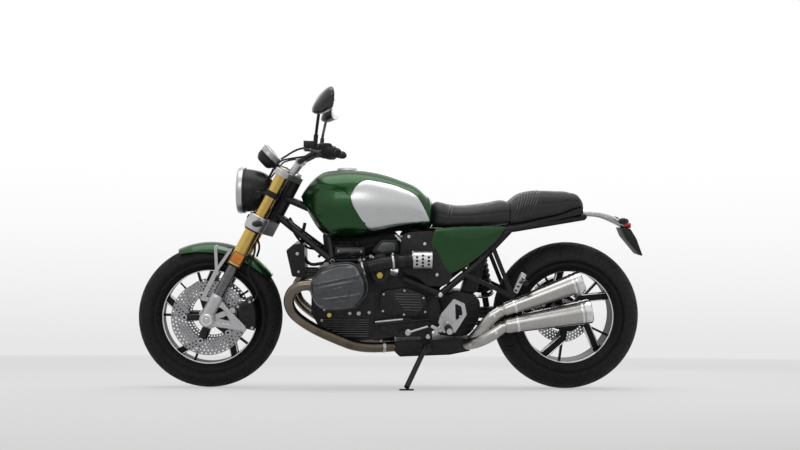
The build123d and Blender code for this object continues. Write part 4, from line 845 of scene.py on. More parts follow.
def resample(outline, count):
    # the closed outline walked at even steps, starting at its point farthest forward
    start = int(np.argmax(outline[:, 0]))
    loop = np.roll(outline, -start, 0)
    loop = np.vstack([loop, loop[:1]])
    walk = np.concatenate([[0], np.cumsum(np.linalg.norm(np.diff(loop, axis=0), axis=1))])
    place = np.linspace(0, walk[-1], count, endpoint=False)
    return np.stack([np.interp(place, walk, loop[:, 0]), np.interp(place, walk, loop[:, 1])], -1)


def buildCalipers():
    # four-piston bodies: a rounded block over the disc with a bridge groove, piston caps, bolts and a bleed nipple
    bodies, brights = [], []
    for side in (1, -1):
        for low, high, start, end, ring in ((76, 103, 125, 197, 0), (37, 64, 125, 197, 0), (60, 80, 160, 193, 1)):
            angles = np.radians(np.linspace(154 + 2 * ring, 194 - 2 * ring, 15))
            outline = np.vstack([
                np.stack([start * np.cos(angles), start * np.sin(angles)], -1),
                np.stack([end * np.cos(angles[::-1]), end * np.sin(angles[::-1])], -1)])
            outline = roundedOutline(outline, 7, 3) + np.array([frontHub[0], frontHub[2]])
            bodies.append(closedPlate(outline, *sorted((side * low, side * high)), 4))
        for angle in (163, 185):
            spot = wheelPlace(frontHub, 158, angle, side * 102)
            bodies.append(lathe([(0, 2), (0, 17), (3, 17), (5, 14), (5, 9), (3, 8)], spot, (0, side, 0), 32, closed=False))
        for angle, radius in ((157, 186), (191, 186), (157, 134), (191, 134)):
            brights.append(boltShape(wheelPlace(frontHub, radius, angle, side * 103), (0, side, 0), 6, 5))
        nipple = wheelPlace(frontHub, 190, 159, side * 92)
        brights.append(barShape(nipple, nipple + (-10, 0, 16), 3.4, 0.6, 12))
    makePiece("caliperBodies", joinShapes(bodies), satinBlack, "steering", sharp=32, replaced=["front_calipers"])
    makePiece("caliperBolts", joinShapes(brights), satinSilver, "steering")


def forkDress():
    # clamp rings and seals round the legs, pinch bolts, an orange reflector with its frame
    brights, darks, lenses = [], [], []
    for side in (1, -1):
        y = side * 105
        darks.append(lathe([(0, 21.8), (0, 30.4), (6, 31), (9, 29), (9, 21.8)], forkPoint(244, 7, y), forkUp, 56))
        darks.append(lathe([(0, 24), (0, 31), (7, 31), (7, 24)], forkPoint(408, 7, y), forkUp, 56))
        brights.append(lathe([(0, 30.5), (0, 40), (2, 42.5), (60, 42.5), (62.6, 40), (62.6, 30.5)], forkPoint(415, 7, y), forkUp, 64))
        brights.append(lathe([(0, 25.5), (0, 35), (2, 36.5), (25, 36.5), (27, 35), (27, 25.5)], forkPoint(663.5, 7, y), forkUp, 64))
        brights.append(lathe([(-3, 2), (-3, 24), (0, 24), (2, 22), (2, 15), (0, 14), (0, 2)], forkPoint(697, 7, y), forkUp, 48, closed=False))
        brights.append(lathe([(0, 2), (0, 9), (3, 9), (4, 8)], forkPoint(697, 7, y), forkUp, 6, closed=False))
        for height in (428, 464, 677):
            far = 40 if height < 600 else 34
            spot = forkPoint(height, 7 - far * 0.6, y + side * far * 0.72)
            brights.append(boltShape(spot - np.array([0, side * 6, 0]), forkAhead * 0.2 + np.array([0, side, 0]), 5.5, 9))
        centre = forkPoint(284, 7, side * 136.5)
        turn = np.stack([forkAhead, forkUp])
        for half, low, high, store in (((24, 23), -8, 0, darks), ((22, 21), -3, 2.5, lenses)):
            box = roundedOutline([(half[0], half[1]), (-half[0], half[1]), (-half[0], -half[1]), (half[0], -half[1])], 4, 4)
            place = lambda p, c=centre: c + p[:, :1] * turn[0] + p[:, 2:3] * turn[1] + p[:, 1:2] * np.array([0, 1.0, 0])
            low, high = (low, high) if side > 0 else (-high, -low)
            store.append(closedPlate(box, low, high, 1.0, place))
    makePiece("forkCollars", joinShapes(darks), satinBlack, "steering")
    makePiece("forkBolts", joinShapes(brights), satinSilver, "steering")
    makePiece("forkReflectors", joinShapes(lenses), amberLens, "steering")


buildDiscs()
frontHardware()
discCarriers()
# the bright lines along the spoke edges are painted highlights, in the machined aluminium finish
makePiece("frontSpokePaintedHighlights", joinShapes(paintedSpokeHighlights("front", 166)), machined, "front_wheel")
makePiece("rearSpokePaintedHighlights", joinShapes(paintedSpokeHighlights("rear", 154)), machined, "rear_wheel")
footCastings()
buildCalipers()
forkDress()
print("fork dressed")


# Engine and frame details, the same on both sides where the motorcycle is


def sidePlate(corners, radius, low, high, bevel=1.5):
    # a plate from y low to y high with rounded corners
    return closedPlate(roundedOutline(corners, radius, 5), low, high, bevel)


def boxBar(start, end, wide, low, high, bevel=1.0):
    # a flat bar between two (x, z) points, its width across and its depth from y low to y high
    start, end = np.asarray(start, float), np.asarray(end, float)
    along = unit(end - start)
    across = np.array([-along[1], along[0]]) * wide / 2
    corners = [start - across, end - across, end + across, start + across]
    return sidePlate(corners, wide * 0.4, low, high, bevel)


def engineCovers():
    blacks, darks, brights = [], [], []
    blacks.append(sidePlate([(598, 328), (606, 404), (640, 424), (700, 440), (790, 426), (806, 400), (798, 344), (770, 326), (640, 318)], 16, 106, 126, 5))
    for k in range(7):
        z = 346 + 11 * k
        darks.append(boxBar((622 + 2 * k, z), (700 + 9 * k if k < 5 else 740, z + 2), 4.2, 124, 129.5 - 0.3 * k, 1.2))
    blacks.append(sidePlate([(600, 236), (736, 232), (800, 262), (800, 306), (720, 314), (604, 306)], 14, 106, 119, 3))
    blacks.append(sidePlate([(820, 420), (1060, 420), (1076, 330), (1030, 258), (960, 218), (820, 226)], 24, 104, 112, 3))
    for k in range(8):
        z = 236 + 9.6 * k
        darks.append(boxBar((846, z), (1012 + 4.5 * k, z), 3.6, 108, 121 - 0.5 * k, 1.0))
    for x, z, r in ((925, 330, 7), (888, 330, 10), (845, 334, 7), (1030, 345, 6), (1040, 300, 5.5)):
        brights.append(lathe([(0, 2), (0, r), (4, r), (5, r - 1), (5, r * 0.55), (2, r * 0.5)], (x, 114, z), (0, 1, 0), 6 if r > 8 else 24, closed=False))
    for x, z in ((612, 340), (620, 398), (700, 428), (786, 412), (788, 342), (700, 328)):
        brights.append(boltShape((x, 125, z), (0, 1, 0), 5, 4))
    blacks.append(sidePlate([(866, 570), (866, 606), (992, 606), (992, 566)], 6, 62, 112, 3))
    darks.append(sidePlate([(876, 577), (876, 599), (982, 599), (982, 575)], 4, 110, 115, 1.5))
    for x in (882, 976):
        brights.append(boltShape((x, 114, 588), (0, 1, 0), 4, 3))
    for k in range(5):
        blacks.append(boxBar((850, 520 + 9 * k), (900 + 14 * k, 522 + 9 * k), 4, 70, 112 - 3 * k, 1))
    # bell housing and throttle body, with the bronze screw of the injector cover
    blacks.append(lathe([(0, 4), (0, 40), (30, 40), (34, 36), (34, 22), (30, 20), (30, 4)], (802, 150, 505), (0, 1, 0), 56, closed=False))
    blacks.append(sidePlate([(830, 455), (776, 452), (758, 520), (782, 585), (826, 578), (842, 520)], 12, 120, 158, 4))
    blacks.append(sidePlate([(842, 588), (800, 640), (730, 640), (722, 585), (770, 560)], 14, 84, 128, 5))
    darks.append(sidePlate([(822, 592), (796, 628), (742, 628), (738, 592), (772, 574)], 10, 126, 132, 3))
    brights.append(boxBar((842, 571), (790, 536), 13, 134, 143, 3))
    brights.append(boxBar((742, 660), (688, 604), 8, 130, 138, 2))
    for x, z in ((842, 570), (795, 571), (886, 554)):
        brights.append(boltShape((x, 142, z), (0, 1, 0), 7, 6))
    blacks.append(barShape((886, 118, 552), (1000, 118, 548), 8))
    blacks.append(barShape((886, 118, 554), (842, 132, 570), 8))
    bronze = [lathe([(0, 3), (0, 15), (6, 15), (8, 13), (8, 7), (5, 6)], (804, 183, 497), (0, 1, 0), 6, closed=False),
              lathe([(0, 3), (0, 9), (3, 9), (3, 4)], (1010, 114, 322), (0, 1, 0), 32, closed=False)]
    makePiece("engineSideCovers", bothSides(joinShapes(blacks)), castMetal, "chassis", sharp=32)
    makePiece("engineRibs", bothSides(joinShapes(darks)), coverGrey, "chassis", sharp=32)
    makePiece("engineBolts", bothSides(joinShapes(brights)), satinSilver, "chassis")
    makePiece("bronzeScrews", bothSides(joinShapes(bronze)), gold, "chassis")


def intakeDress():
    # bright clamp bands, the ribbed rubber ends and the drilled sleeve in front of the airbox
    start, knee, end = np.array([890, 190, 520.0]), np.array([800, 198, 545.0]), np.array([668, 184.3, 560.0])
    bands, darks = [], []
    path = smoothPath([start, knee, end], 60)
    for place, wide in ((40, 9), (58, 7), (6, 7)):
        at = path[place]
        along = unit(path[min(place + 1, 59)] - path[place - 1])
        bands.append(lathe([(0, 27), (0, 31), (1, 32), (wide - 1, 32), (wide, 31), (wide, 27)], at, along, 56))
        bands.append(boltShape(at + along * wide / 2 + np.array([0, 0, 32]), (0, 0, 1), 4.5, 6))
        for k in range(3):
            darks.append(lathe([(0, 27), (0, 30), (2, 30.6), (4, 30), (4, 27)], at + along * (wide + 4 + 6 * k) * (1 if place < 58 else -1.4), along, 56))
    holes = []
    centre = np.array([629, 184.3, 560.0])
    for row, (x, count, first) in enumerate(((-24, 3, -24), (0, 4, -36), (24, 3, -24))):
        for k in range(count):
            angle = math.radians(first + 24 * k)
            out = np.array([0, math.cos(angle), math.sin(angle)])
            at = centre + np.array([x, 0, 0]) + out * 36.0
            holes.append(lathe([(-2, 1), (-2, 5.6), (0.5, 5.6), (0.5, 1)], at, out, 20, closed=False))
    rims = []
    for x in (590.5, 664):
        rims.append(lathe([(0, 33), (0, 37.4), (1, 38), (3, 38), (4, 37.4), (4, 33)], (x, 184.3, 560), (1, 0, 0), 72))
    makePiece("intakeBands", bothSides(joinShapes(bands + rims)), satinSilver, "chassis")
    makePiece("intakeRibs", bothSides(joinShapes(darks)), gripRubber, "chassis")
    makePiece("sleeveHoles", bothSides(joinShapes(holes)), satinBlack, "chassis")


def airboxPanels():
    outer = [(716, 652), (690, 672), (590, 678), (566, 650), (582, 612), (526, 551), (500, 505), (514, 462), (553, 447), (606, 450), (650, 486), (700, 500), (722, 560)]
    panel = sidePlate(outer, 12, 110, 150.5, 4)
    grille = [boxBar((540 + 4 * k, 480 + 11 * k), (600 + 8 * k, 484 + 11 * k), 3, 149, 152.5, 1) for k in range(4)]
    makePiece("airboxPanels", bothSides(joinShapes([panel] + grille)), blackPlastic, "chassis")
    bolts = [boltShape((x, 150, z), (0, 1, 0), 6.5, 4) for x, z in ((686, 654), (620, 625), (567, 498))]
    makePiece("airboxScrews", bothSides(joinShapes(bolts)), machined, "chassis")


def frameBolts():
    # cap screws with washers where the tubes meet the engine and each other
    shapes = []
    for x, y, z, r in ((1000, 133, 548, 11), (552, 155, 415, 11), (500, 141, 300, 12)):
        shapes.append(lathe([(-3, 2), (-3, r + 4), (0, r + 4), (1, r + 3), (1, 2)], (x, y, z), (0, 1, 0), 40, closed=False))
        shapes.append(lathe([(0, 2), (0, r), (6, r), (8, r - 2), (8, r * 0.6), (4, r * 0.55)], (x, y, z), (0, 1, 0), 6, closed=False))
    makePiece("frameBolts", bothSides(joinShapes(shapes)), machined, "chassis")


def coolerCore():
    # thin folded fins between the cooler's end tanks, on its front, and its screws
    fins = []
    for k in range(18):
        z = 484 + 5.6 * k
        x = 1166 + (z - 480) * (26 / 108)
        fins.append(barShape((x + 1, -94, z), (x + 1, 94, z), 1.4, 0.3, 6))
    makePiece("coolerFins", joinShapes(fins), finBlack, "chassis")
    screws = [boltShape((1146, 105, 575), (0, 1, 0), 7, 4), boltShape((1140, 105, 500), (0, 1, 0), 5, 3)]
    makePiece("coolerScrews", bothSides(joinShapes(screws)), satinSilver, "chassis")


def linkages():
    brights, darks = [], []
    darks.append(barShape((828, 128, 286), (590, 128, 309), 5))
    brights.append(barShape((820, 130, 297), (704, 130, 309), 4.5))
    for a, b in (((684, 261), (602, 287)),):
        brights.append(barShape((a[0], 178, a[1]), (b[0], 178, b[1]), 5))
    brights.append(lathe([(0, 3), (0, 13), (16, 13), (18, 11), (18, 3)], (684, 162, 261), (0, 1, 0), 32, closed=False))
    darks.append(lathe([(0, 3), (0, 11), (30, 11), (32, 9), (32, 3)], (712, 160, 258), (0, 1, 0), 32, closed=False))
    brights.append(boxBar((590, 290), (560, 275), 14, 176, 188, 2))
    brights.append(lathe([(0, 3), (0, 10), (9, 10), (11, 8), (11, 3)], (602, 176, 245), (0, 1, 0), 6, closed=False))
    brights.append(boxBar((575, 262), (545, 286), 18, 168, 180, 3))
    for x, z, r in ((552, 272, 8), (520, 300, 10), (540, 330, 7), (505, 268, 7), (470, 330, 5)):
        brights.append(boltShape((x, 186, z), (0, 1, 0), r, 5))
    makePiece("footLinks", bothSides(joinShapes(brights)), satinSilver, "chassis")
    makePiece("footLevers", bothSides(joinShapes(darks)), satinBlack, "chassis")
    ribs = []
    for k in range(9):
        ribs.append(lathe([(0, 10), (0, 15), (1, 15.6), (5, 15.6), (6, 15), (6, 10)], (520, 196 + 9.6 * k, 282), (0, 1, 0), 28))
    makePiece("pegRubbers", bothSides(joinShapes(ribs)), gripRubber, "chassis")


def collectorDress():
    slots, rims = [], []
    for k in range(2):
        slots.append(boxBar((640 - 130 * k, 176 - 2 * k), (560 - 130 * k if k == 0 else 440, 179), 12, 95, 97.4, 1))
    rims.append(sidePlate([(733, 206), (733, 170), (712, 150), (506, 158), (420, 176), (415, 218), (520, 212)], 12, 95.5, 98, 1.5))
    makePiece("collectorPanels", bothSides(joinShapes(rims)), satinBlack, "chassis")
    makePiece("collectorSlots", bothSides(joinShapes([(p + np.array([0, 2.2, 0]), f) for p, f in slots])), finBlack, "chassis")


def headerPipes():
    # one smooth bend round the front of each cylinder and back under the engine
    run = [
        (1040, 236, 456), (1084, 234, 458), (1122, 230, 454), (1150, 226, 438), (1166, 221, 411), (1169, 215, 382),
        (1157, 208, 349), (1129, 201, 318), (1084, 190, 286), (1030, 176, 256), (955, 152, 220), (900, 128, 198),
        (830, 104, 187), (728, 72, 187)]
    pipe = tubeShape(smoothPath(run, 120), 21.5, 40)
    makePiece("headerPipes", bothSides(pipe), tinted, "chassis", sharp=60, replaced=["exhaust_headers"])


def headerClamps():
    # two-bolt flanges at the heads and clamps before the collector
    shapes = []
    for side in (1, -1):
        at = np.array([1070, side * 234.5, 457.5])
        shapes.append(lathe([(0, 21), (0, 28), (6, 28), (8, 26), (8, 21)], at, (1, side * -0.05, 0.02), 40))
        for k in (-1, 1):
            shapes.append(barShape(at + (6, 0, k * 22), at + (18, side * -3, k * 22), 4))
        shapes.append(lathe([(0, 21), (0, 24), (12, 24), (12, 21)], (790, side * 91, 187), (-1, side * -0.31, 0), 40))
    makePiece("headerClamps", joinShapes(shapes), satinSilver, "chassis")


def innerParts():
    # what fills the frame: the electrics tray under the tank, the gearbox tail and loose-looking wiring
    blacks = [
        sidePlate([(1036, 566), (1046, 655), (960, 640), (860, 652), (740, 668), (716, 604), (860, 560)], 10, -34, 34, 4),
        sidePlate([(560, 396), (480, 424), (402, 408), (376, 380), (380, 300), (420, 236), (480, 228), (556, 236)], 22, -62, 74, 8),
        sidePlate([(460, 410), (420, 540), (372, 600), (350, 560), (392, 410)], 16, -24, 52, 6)]
    for k in range(4):
        blacks.append(boxBar((900 + 34 * k, 566), (900 + 34 * k, 630), 18, 30, 52 + 4 * (k % 2), 4))
    for k in range(5):
        blacks.append(boxBar((474 - 3 * k, 258 + 26 * k), (404 - 2 * k, 262 + 27 * k), 8, 70, 82, 3))
    makePiece("innerHousings", joinShapes(blacks), castMetal, "chassis", sharp=32)
    runs = [
        [(1196, 46, 716), (1180, 60, 690), (1150, 62, 640), (1110, 58, 600), (1060, 66, 590)],
        [(1190, -46, 716), (1174, -60, 690), (1140, -62, 650), (1100, -58, 610), (1050, -66, 596)],
        [(1060, 60, 560), (1010, 90, 600), (940, 96, 610), (880, 92, 596), (842, 100, 612), (800, 92, 600)],
        [(1040, 100, 536), (1090, 80, 530), (1120, 60, 560), (1130, 40, 640), (1120, 40, 700)],
        [(640, 118, 470), (600, 132, 436), (600, 128, 380), (640, 124, 330), (660, 122, 300)],
        [(990, 110, 560), (940, 118, 566), (890, 112, 582), (850, 108, 548)]]
    hoses = [tubeShape(smoothPath(run, 50), radius, 12) for run, radius in zip(runs, (5, 5, 6, 7, 5, 4))]
    makePiece("wiringHoses", joinShapes(hoses), gripRubber, "chassis")


engineCovers()
innerParts()
intakeDress()
airboxPanels()
frameBolts()
coolerCore()
linkages()
collectorDress()
headerPipes()
headerClamps()
print("engine dressed")


# Exhaust ends, tail and rear lights


def silencerDress():
    # smooth tapered shells with end caps, a seam band and the clamp covers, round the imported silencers
    brights, caps, darks, bolts = [], [], [], []
    for front, back, small, large in (((276, 152, 357), (-40, 152, 477), 27, 45), ((265, 152, 290), (-80, 152, 352), 32, 49)):
        front, back = np.array(front, float), np.array(back, float)
        length = np.linalg.norm(back - front)
        along = (back - front) / length
        grow = (large - small) / length
        stations = np.linspace(0, length - 26, 30)
        shell = [(s, small + grow * s + 0.8 + 0.9 * math.sin(math.pi * s / length)) for s in stations]
        first = [(-14, small - 9), (-13, small - 3), (-4, small + 0.2)]
        brights.append(lathe([(-14, small - 14)] + first + shell + [(length - 25, large - 3)], front, along, 88, closed=False))
        caps.append(lathe([
            (length - 27, large - 4), (length - 27, large + 0.8), (length - 8, large + 1.2), (length - 1, large - 0.5), (length + 2.4, large - 5),
            (length + 1, large * 0.66), (length - 6, large * 0.58), (length - 34, large * 0.54), (length - 34, large * 0.5)], front, along, 88))
        darks.append(lathe([(length - 60, large * 0.545), (length - 60, 2)], front, along, 48, closed=False))
        for s in (34, length - 44):
            r = small + grow * s + 1.7
            caps.append(lathe([(s, r - 2), (s, r + 1), (s + 2, r + 1.6), (s + 7, r + 1.6), (s + 9, r + 1), (s + 9, r - 2)], front, along, 88))
        for angle in (20, 80, 140, 200, 260, 320):
            across, up = crossAxes(along)
            turn = math.radians(angle)
            out = math.cos(turn) * across + math.sin(turn) * up
            bolts.append(boltShape(front + along * (length - 17) + out * (large + 0.4), out, 3, 2.2))
    # heat covers over the pipes: a curved strip on the outer side with two screws
    for pipe, wide in (([(418, 90, 214), (384, 140, 262), (345, 158, 318), (300, 158, 352)], 27), ([(430, 88, 202), (390, 138, 222), (340, 158, 250), (290, 158, 284)], 27)):
        path = smoothPath(pipe, 40)
        across, up = crossAxes(np.gradient(path, axis=0))
        arc = np.linspace(-1.15, 1.15, 17)
        lift = wide + 1.2 * np.sin(np.linspace(0, math.pi, 40))[:, None, None]
        side = np.array([0, 1.0, 0]) - 0 * across
        side = unit(side - np.sum(side * unit(np.gradient(path, axis=0)), -1, keepdims=True) * unit(np.gradient(path, axis=0)))
        rise = np.cross(side, unit(np.gradient(path, axis=0)))
        outer = path[:, None] + lift * (np.cos(arc)[None, :, None] * side[:, None] + np.sin(arc)[None, :, None] * rise[:, None])
        inner = path[:, None] + (lift - 2) * (np.cos(arc[::-1])[None, :, None] * side[:, None] + np.sin(arc[::-1])[None, :, None] * rise[:, None])
        ring = np.concatenate([outer, inner], 1)
        brights.append(sheetShape(ring, loopV=True, capped=True))
        for place in (9, 31):
            bolts.append(boltShape(path[place] + side[place] * (wide + 1), side[place], 6, 4))
    # the pipes that come up out of the collector
    for run in ([(420, 82, 206), (360, 122, 280), (310, 148, 340), (262, 152, 362)], [(420, 82, 200), (370, 120, 232), (320, 146, 272), (252, 152, 292)]):
        brights.append(tubeShape(smoothPath(run, 40), 23, 40))
    makePiece("silencerShells", joinShapes(brights), brushed, "chassis", sharp=40, replaced=["silencers"])
    makePiece("silencerCaps", joinShapes(caps), machined, "chassis")
    makePiece("silencerBores", joinShapes(darks), finBlack, "chassis")
    makePiece("silencerBolts", joinShapes(bolts), machined, "chassis")


def tailDress():
    # the tapered aluminium hoop, the black plate carrier under it and the lamp's housing
    along = np.linspace(0, 1, 40)
    x = -62 - 188 * along
    half = np.interp(along, [0, 0.35, 0.75, 1], [48, 41, 38, 30])
    top = curveValue(x, [(-250, 716), (-233, 724), (-202, 744), (-136, 765), (-90, 769), (-62, 768)])
    low = curveValue(x, [(-250, 690), (-233, 697), (-202, 712), (-136, 737), (-90, 742), (-62, 742)])
    turn = np.linspace(0, 2 * math.pi, 64, endpoint=False)
    wave, rise = np.cos(turn), np.sin(turn)
    y = half[:, None] * np.sign(wave) * np.abs(wave)**0.6
    z = (top + low)[:, None] / 2 + (top - low)[:, None] / 2 * np.sign(rise) * np.abs(rise)**0.6
    grid = np.stack([np.broadcast_to(x[:, None], y.shape), y, z], -1)
    makePiece("tailHoop", sheetShape(grid, loopV=True, capped=True), satinSilver, "chassis", sharp=50, replaced=["tail_carrier"])
    plate = closedPlate(
        roundedOutline([(-226, 694), (-246, 694), (-264, 694), (-291, 652), (-319, 580), (-309, 579), (-243, 655)], 3, 4), -60, 60, 2)
    ribs = [closedPlate(roundedOutline([(-236, 690), (-252, 690), (-300, 610), (-290, 606), (-246, 658)], 3, 3), y - 2, y + 2, 0.8) for y in (-46, 46)]
    makePiece("plateCarrier", joinShapes([plate] + ribs), blackPlastic, "chassis")
    housing = lathe([(0, 5), (0, 13), (20, 14), (24, 12), (24, 4)], (-246, 0, 706.3), (-1, 0, 0), 48, closed=False)
    points, faces = housing
    points = (points - np.array([0, 0, 706.3])) * np.array([1, 2.9, 1]) + np.array([0, 0, 706.3])
    makePiece("lampHousing", (points, faces), glossBlack, "chassis")
    screws = [boltShape((x, sy * 41, z), (0, sy, 0), 5, 3) for x, z in ((-100, 752), (-160, 742)) for sy in (1, -1)]
    screws += [boltShape((-296, y, 636), (-0.93, 0, 0.36), 4, 3) for y in (-44, 44)]
    makePiece("tailScrews", joinShapes(screws), machined, "chassis")


def seatPans():
    # a black tray closes the space between the pillion seat and the rails
    x = np.linspace(-50, 262, 40)
    top = curveValue(x, seat["pillionBottom"]) + 8
    low = np.interp(x, [-50, -20, 100, 240, 262], [758, 750, 722, 697, 692])
    rows = []
    for wide, height in ((60, top), (97, top), (100, top - 2), (100, low), (97, low - 2), (60, low - 2)):
        rows.append(np.stack([x, np.full(40, float(wide)), height], -1))
    rows += [row * np.array([1, -1, 1]) for row in rows[::-1]]
    grid = np.stack(rows, 1)
    makePiece("seatPan", sheetShape(grid, loopV=True, capped=True), blackPlastic, "chassis", sharp=40)
    pegs = [closedPlate(roundedOutline([(232, 422), (252, 434), (216, 514), (194, 504)], 7, 4), 152, 176, 4),
            lathe([(0, 3), (0, 13), (30, 13), (32, 11), (32, 3)], (212, 148, 480), (0, 1, 0), 32, closed=False)]
    grips = [closedPlate(roundedOutline([(236 - 9 * k, 432 + 17 * k), (247 - 9 * k, 437 + 17 * k), (245 - 9 * k, 443 + 17 * k), (233 - 9 * k, 438 + 17 * k)], 2, 3), 174, 180, 1) for k in range(4)]
    makePiece("pillionPegs", bothSides(joinShapes(pegs)), satinSilver, "chassis")
    makePiece("pillionPegRubbers", bothSides(joinShapes(grips)), gripRubber, "chassis")


def indicatorDress():
    # slim housings with a lens on the end of every stalk
    shells, lenses = [], []
    for side in (1, -1):
        at = np.array([-222, side * 93, 727.0])
        shells.append(lathe([(-16, 3), (-16, 9), (-6, 13.5), (8, 14), (10, 13), (10, 3)], at, (-1, 0, 0), 40, closed=False))
        shells.append(barShape((-222, side * 30, 722), (-222, side * 88, 727), 5, 1))
        lenses.append(lathe([(9, 2), (9, 12.6), (16, 12), (22, 9), (25, 5), (26, 1)], at, (-1, 0, 0), 40, closed=False))
    makePiece("rearIndicatorShells", joinShapes(shells), blackPlastic, "chassis", replaced=["rear_indicators"])
    makePiece("rearIndicatorLenses", joinShapes(lenses), smokedLens, "chassis")


def shockDress():
    # a spring wound round the damper between its two plates
    top, low = np.array([400, -40, 666.0]), np.array([330, -116, 336.0])
    along = unit(low - top)
    across, up = crossAxes(along)
    turns = np.linspace(0, 9 * 2 * math.pi, 420)
    length = np.linalg.norm(low - top)
    s = np.linspace(length * 0.2, length * 0.82, 420)
    path = top + s[:, None] * along + 34 * (np.cos(turns)[:, None] * across + np.sin(turns)[:, None] * up)
    makePiece("shockSpring", tubeShape(path, 5.5, 12), satinBlack, "chassis")
    rings = [lathe([(0, 10), (0, 41), (4, 41), (6, 38), (6, 10)], top + along * length * 0.17, along, 48, closed=False),
             lathe([(0, 10), (0, 41), (4, 41), (6, 38), (6, 10)], top + along * length * 0.83, along, 48, closed=False)]
    makePiece("shockCollars", joinShapes(rings), satinSilver, "chassis")


silencerDress()
seatPans()
tailDress()
indicatorDress()
shockDress()
print("rear dressed")


# Cockpit: headlamp, dial, mirrors, controls and grips

lamp = {"x": 1403, "z": 832, "radius": 95}


def buildHeadlamp():
    # a dished reflector with a bulb shield behind the lens, a stepped bright ring and the shell's seam
    centre = (lamp["x"] - 27, 0, lamp["z"])
    dish = [(-2, 77), (-10, 74), (-26, 62), (-42, 44), (-52, 24), (-56, 6)]
    makePiece("lampReflector", lathe([(-3, 79)] + dish + [(-60, 5), (-30, 78)], centre, (1, 0, 0), 96), chrome, "steering")
    shield = [lathe([(-52, 3), (-52, 9), (-22, 10), (-16, 15), (-13, 15), (-11, 12), (-9, 3)], centre, (1, 0, 0), 40, closed=False)]
    for k in range(3):
        turn = math.radians(90 + 120 * k)
        out = np.array([0, math.cos(turn), math.sin(turn)])
        shield.append(barShape(np.array(centre) + (-18, 0, 0) + out * 12, np.array(centre) + (-18, 0, 0) + out * 66, 2.2, 0.4, 8))
    makePiece("lampBulbShield", joinShapes(shield), satinSilver, "steering")
    ring = [(2, 84), (2, 93), (5, 96.5), (12, 97.5), (22, 96.5), (27, 93), (29, 88), (28, 83), (24, 80), (6, 81)]
    makePiece("lampRing", lathe(ring, centre, (1, 0, 0), 120), satinSilver, "steering", replaced=["headlamp_ring"])
    darks = [lathe([(-3, 88), (-3, 96.4), (1, 96.4), (1, 88)], centre, (1, 0, 0), 120)]
    for k in (1, -1):
        at = forkPoint(580, 7, k * 80)
        darks.append(lathe([(0, 3), (0, 17), (5, 17), (7, 15), (7, 9), (4, 8)], at + (60, k * 6, -4), (0, k, 0), 32, closed=False))
    makePiece("lampSeam", joinShapes(darks), satinBlack, "steering")


def buildDial():
    # a deep cup with a ribbed bright ring, a dark face with marks and figures' places, and a needle under glass
    tilt = math.radians(46)
    axis = np.array([-math.sin(tilt), 0, math.cos(tilt)])
    centre = np.array([1263, 0, 988.0])
    cup = [(-59, 2), (-59, 26), (-54, 34), (-44, 41), (-36, 45), (-4, 46.5), (1, 47.5), (4, 47), (5, 45), (4, 42.5), (-4, 42), (-4, 2)]
    makePiece("dialCup", lathe(cup, centre, axis, 96, closed=False), blackPlastic, "steering", replaced=["instrument"])
    foot = [barShape(centre - axis * 52, forkPoint(694, 4, 0), 11, 2), boltShape(forkPoint(694, 4, 22), forkUp, 6, 5), boltShape(forkPoint(694, 4, -22), forkUp, 6, 5)]
    foot.append(closedPlate(roundedOutline([(12, 30), (-12, 30), (-12, -30), (12, -30)], 6, 4), -4, 8, 2, lambda p: forkPoint(690, 7, 0) + p[:, :1] * forkAhead + p[:, 2:3] * np.array([0, 1.0, 0]) + p[:, 1:2] * forkUp))
    makePiece("dialBracket", joinShapes(foot), satinBlack, "steering")
    ring = [
        (-18, 46), (-18, 48), (-16, 49.5), (-13, 49.5), (-12, 48.4), (-11, 49.5), (-8, 49.5), (-7, 48.4), (-6, 49.5), (-3, 49.5),
        (-2, 48.4), (-1, 49.5), (7, 50), (9, 48), (9, 43), (6, 41), (3, 41), (1, 46)]
    shapes = [lathe(ring, centre, axis, 96)]
    across, up = crossAxes(axis)
    for k in range(48):
        turn = k * math.pi / 24
        out = math.cos(turn) * across + math.sin(turn) * up
        shapes.append(barShape(centre + axis * 2 + out * 49.6, centre + axis * 6.5 + out * 49.6, 1.1, 0.3, 6))
    makePiece("dialRing", joinShapes(shapes), satinSilver, "steering")
    makePiece("dialFace", lathe([(-3, 1), (-3, 41), (-1.5, 41), (-1.5, 26), (-2.2, 25), (-2.2, 1)], centre, axis, 72, closed=False), glossBlack, "steering")
    ahead = np.array([math.cos(tilt), 0, math.sin(tilt)])
    left = np.array([0, 1.0, 0])
    marks = []
    for k in range(41):
        turn = math.radians(-130 + 6.5 * k)
        out = math.cos(turn) * ahead - math.sin(turn) * left
        inner = 31 if k % 5 == 0 else 34.5
        marks.append(barShape(centre - axis * 1.2 + out * inner, centre - axis * 1.2 + out * 38.5, 0.7 if k % 5 == 0 else 0.4, 0.1, 6))
    makePiece("dialMarks", joinShapes(marks), dialWhite, "steering")
    point = math.cos(math.radians(-118)) * ahead - math.sin(math.radians(-118)) * left
    needle = [lathe([(-1.5, 1), (-1.5, 4), (1.5, 4), (2, 3)], centre, axis, 24, closed=False),
              tubeShape(np.stack([centre - point * 7, centre + point * 10, centre + point * 33]), np.array([1.3, 1.0, 0.5]), 8)]
    makePiece("dialNeedle", joinShapes(needle), needleRed, "steering")
    makePiece("dialGlass", lathe([(3, 1), (3, 41), (4.4, 41), (5.4, 20), (5.8, 1)], centre, axis, 72, closed=False), lampGlass, "steering")


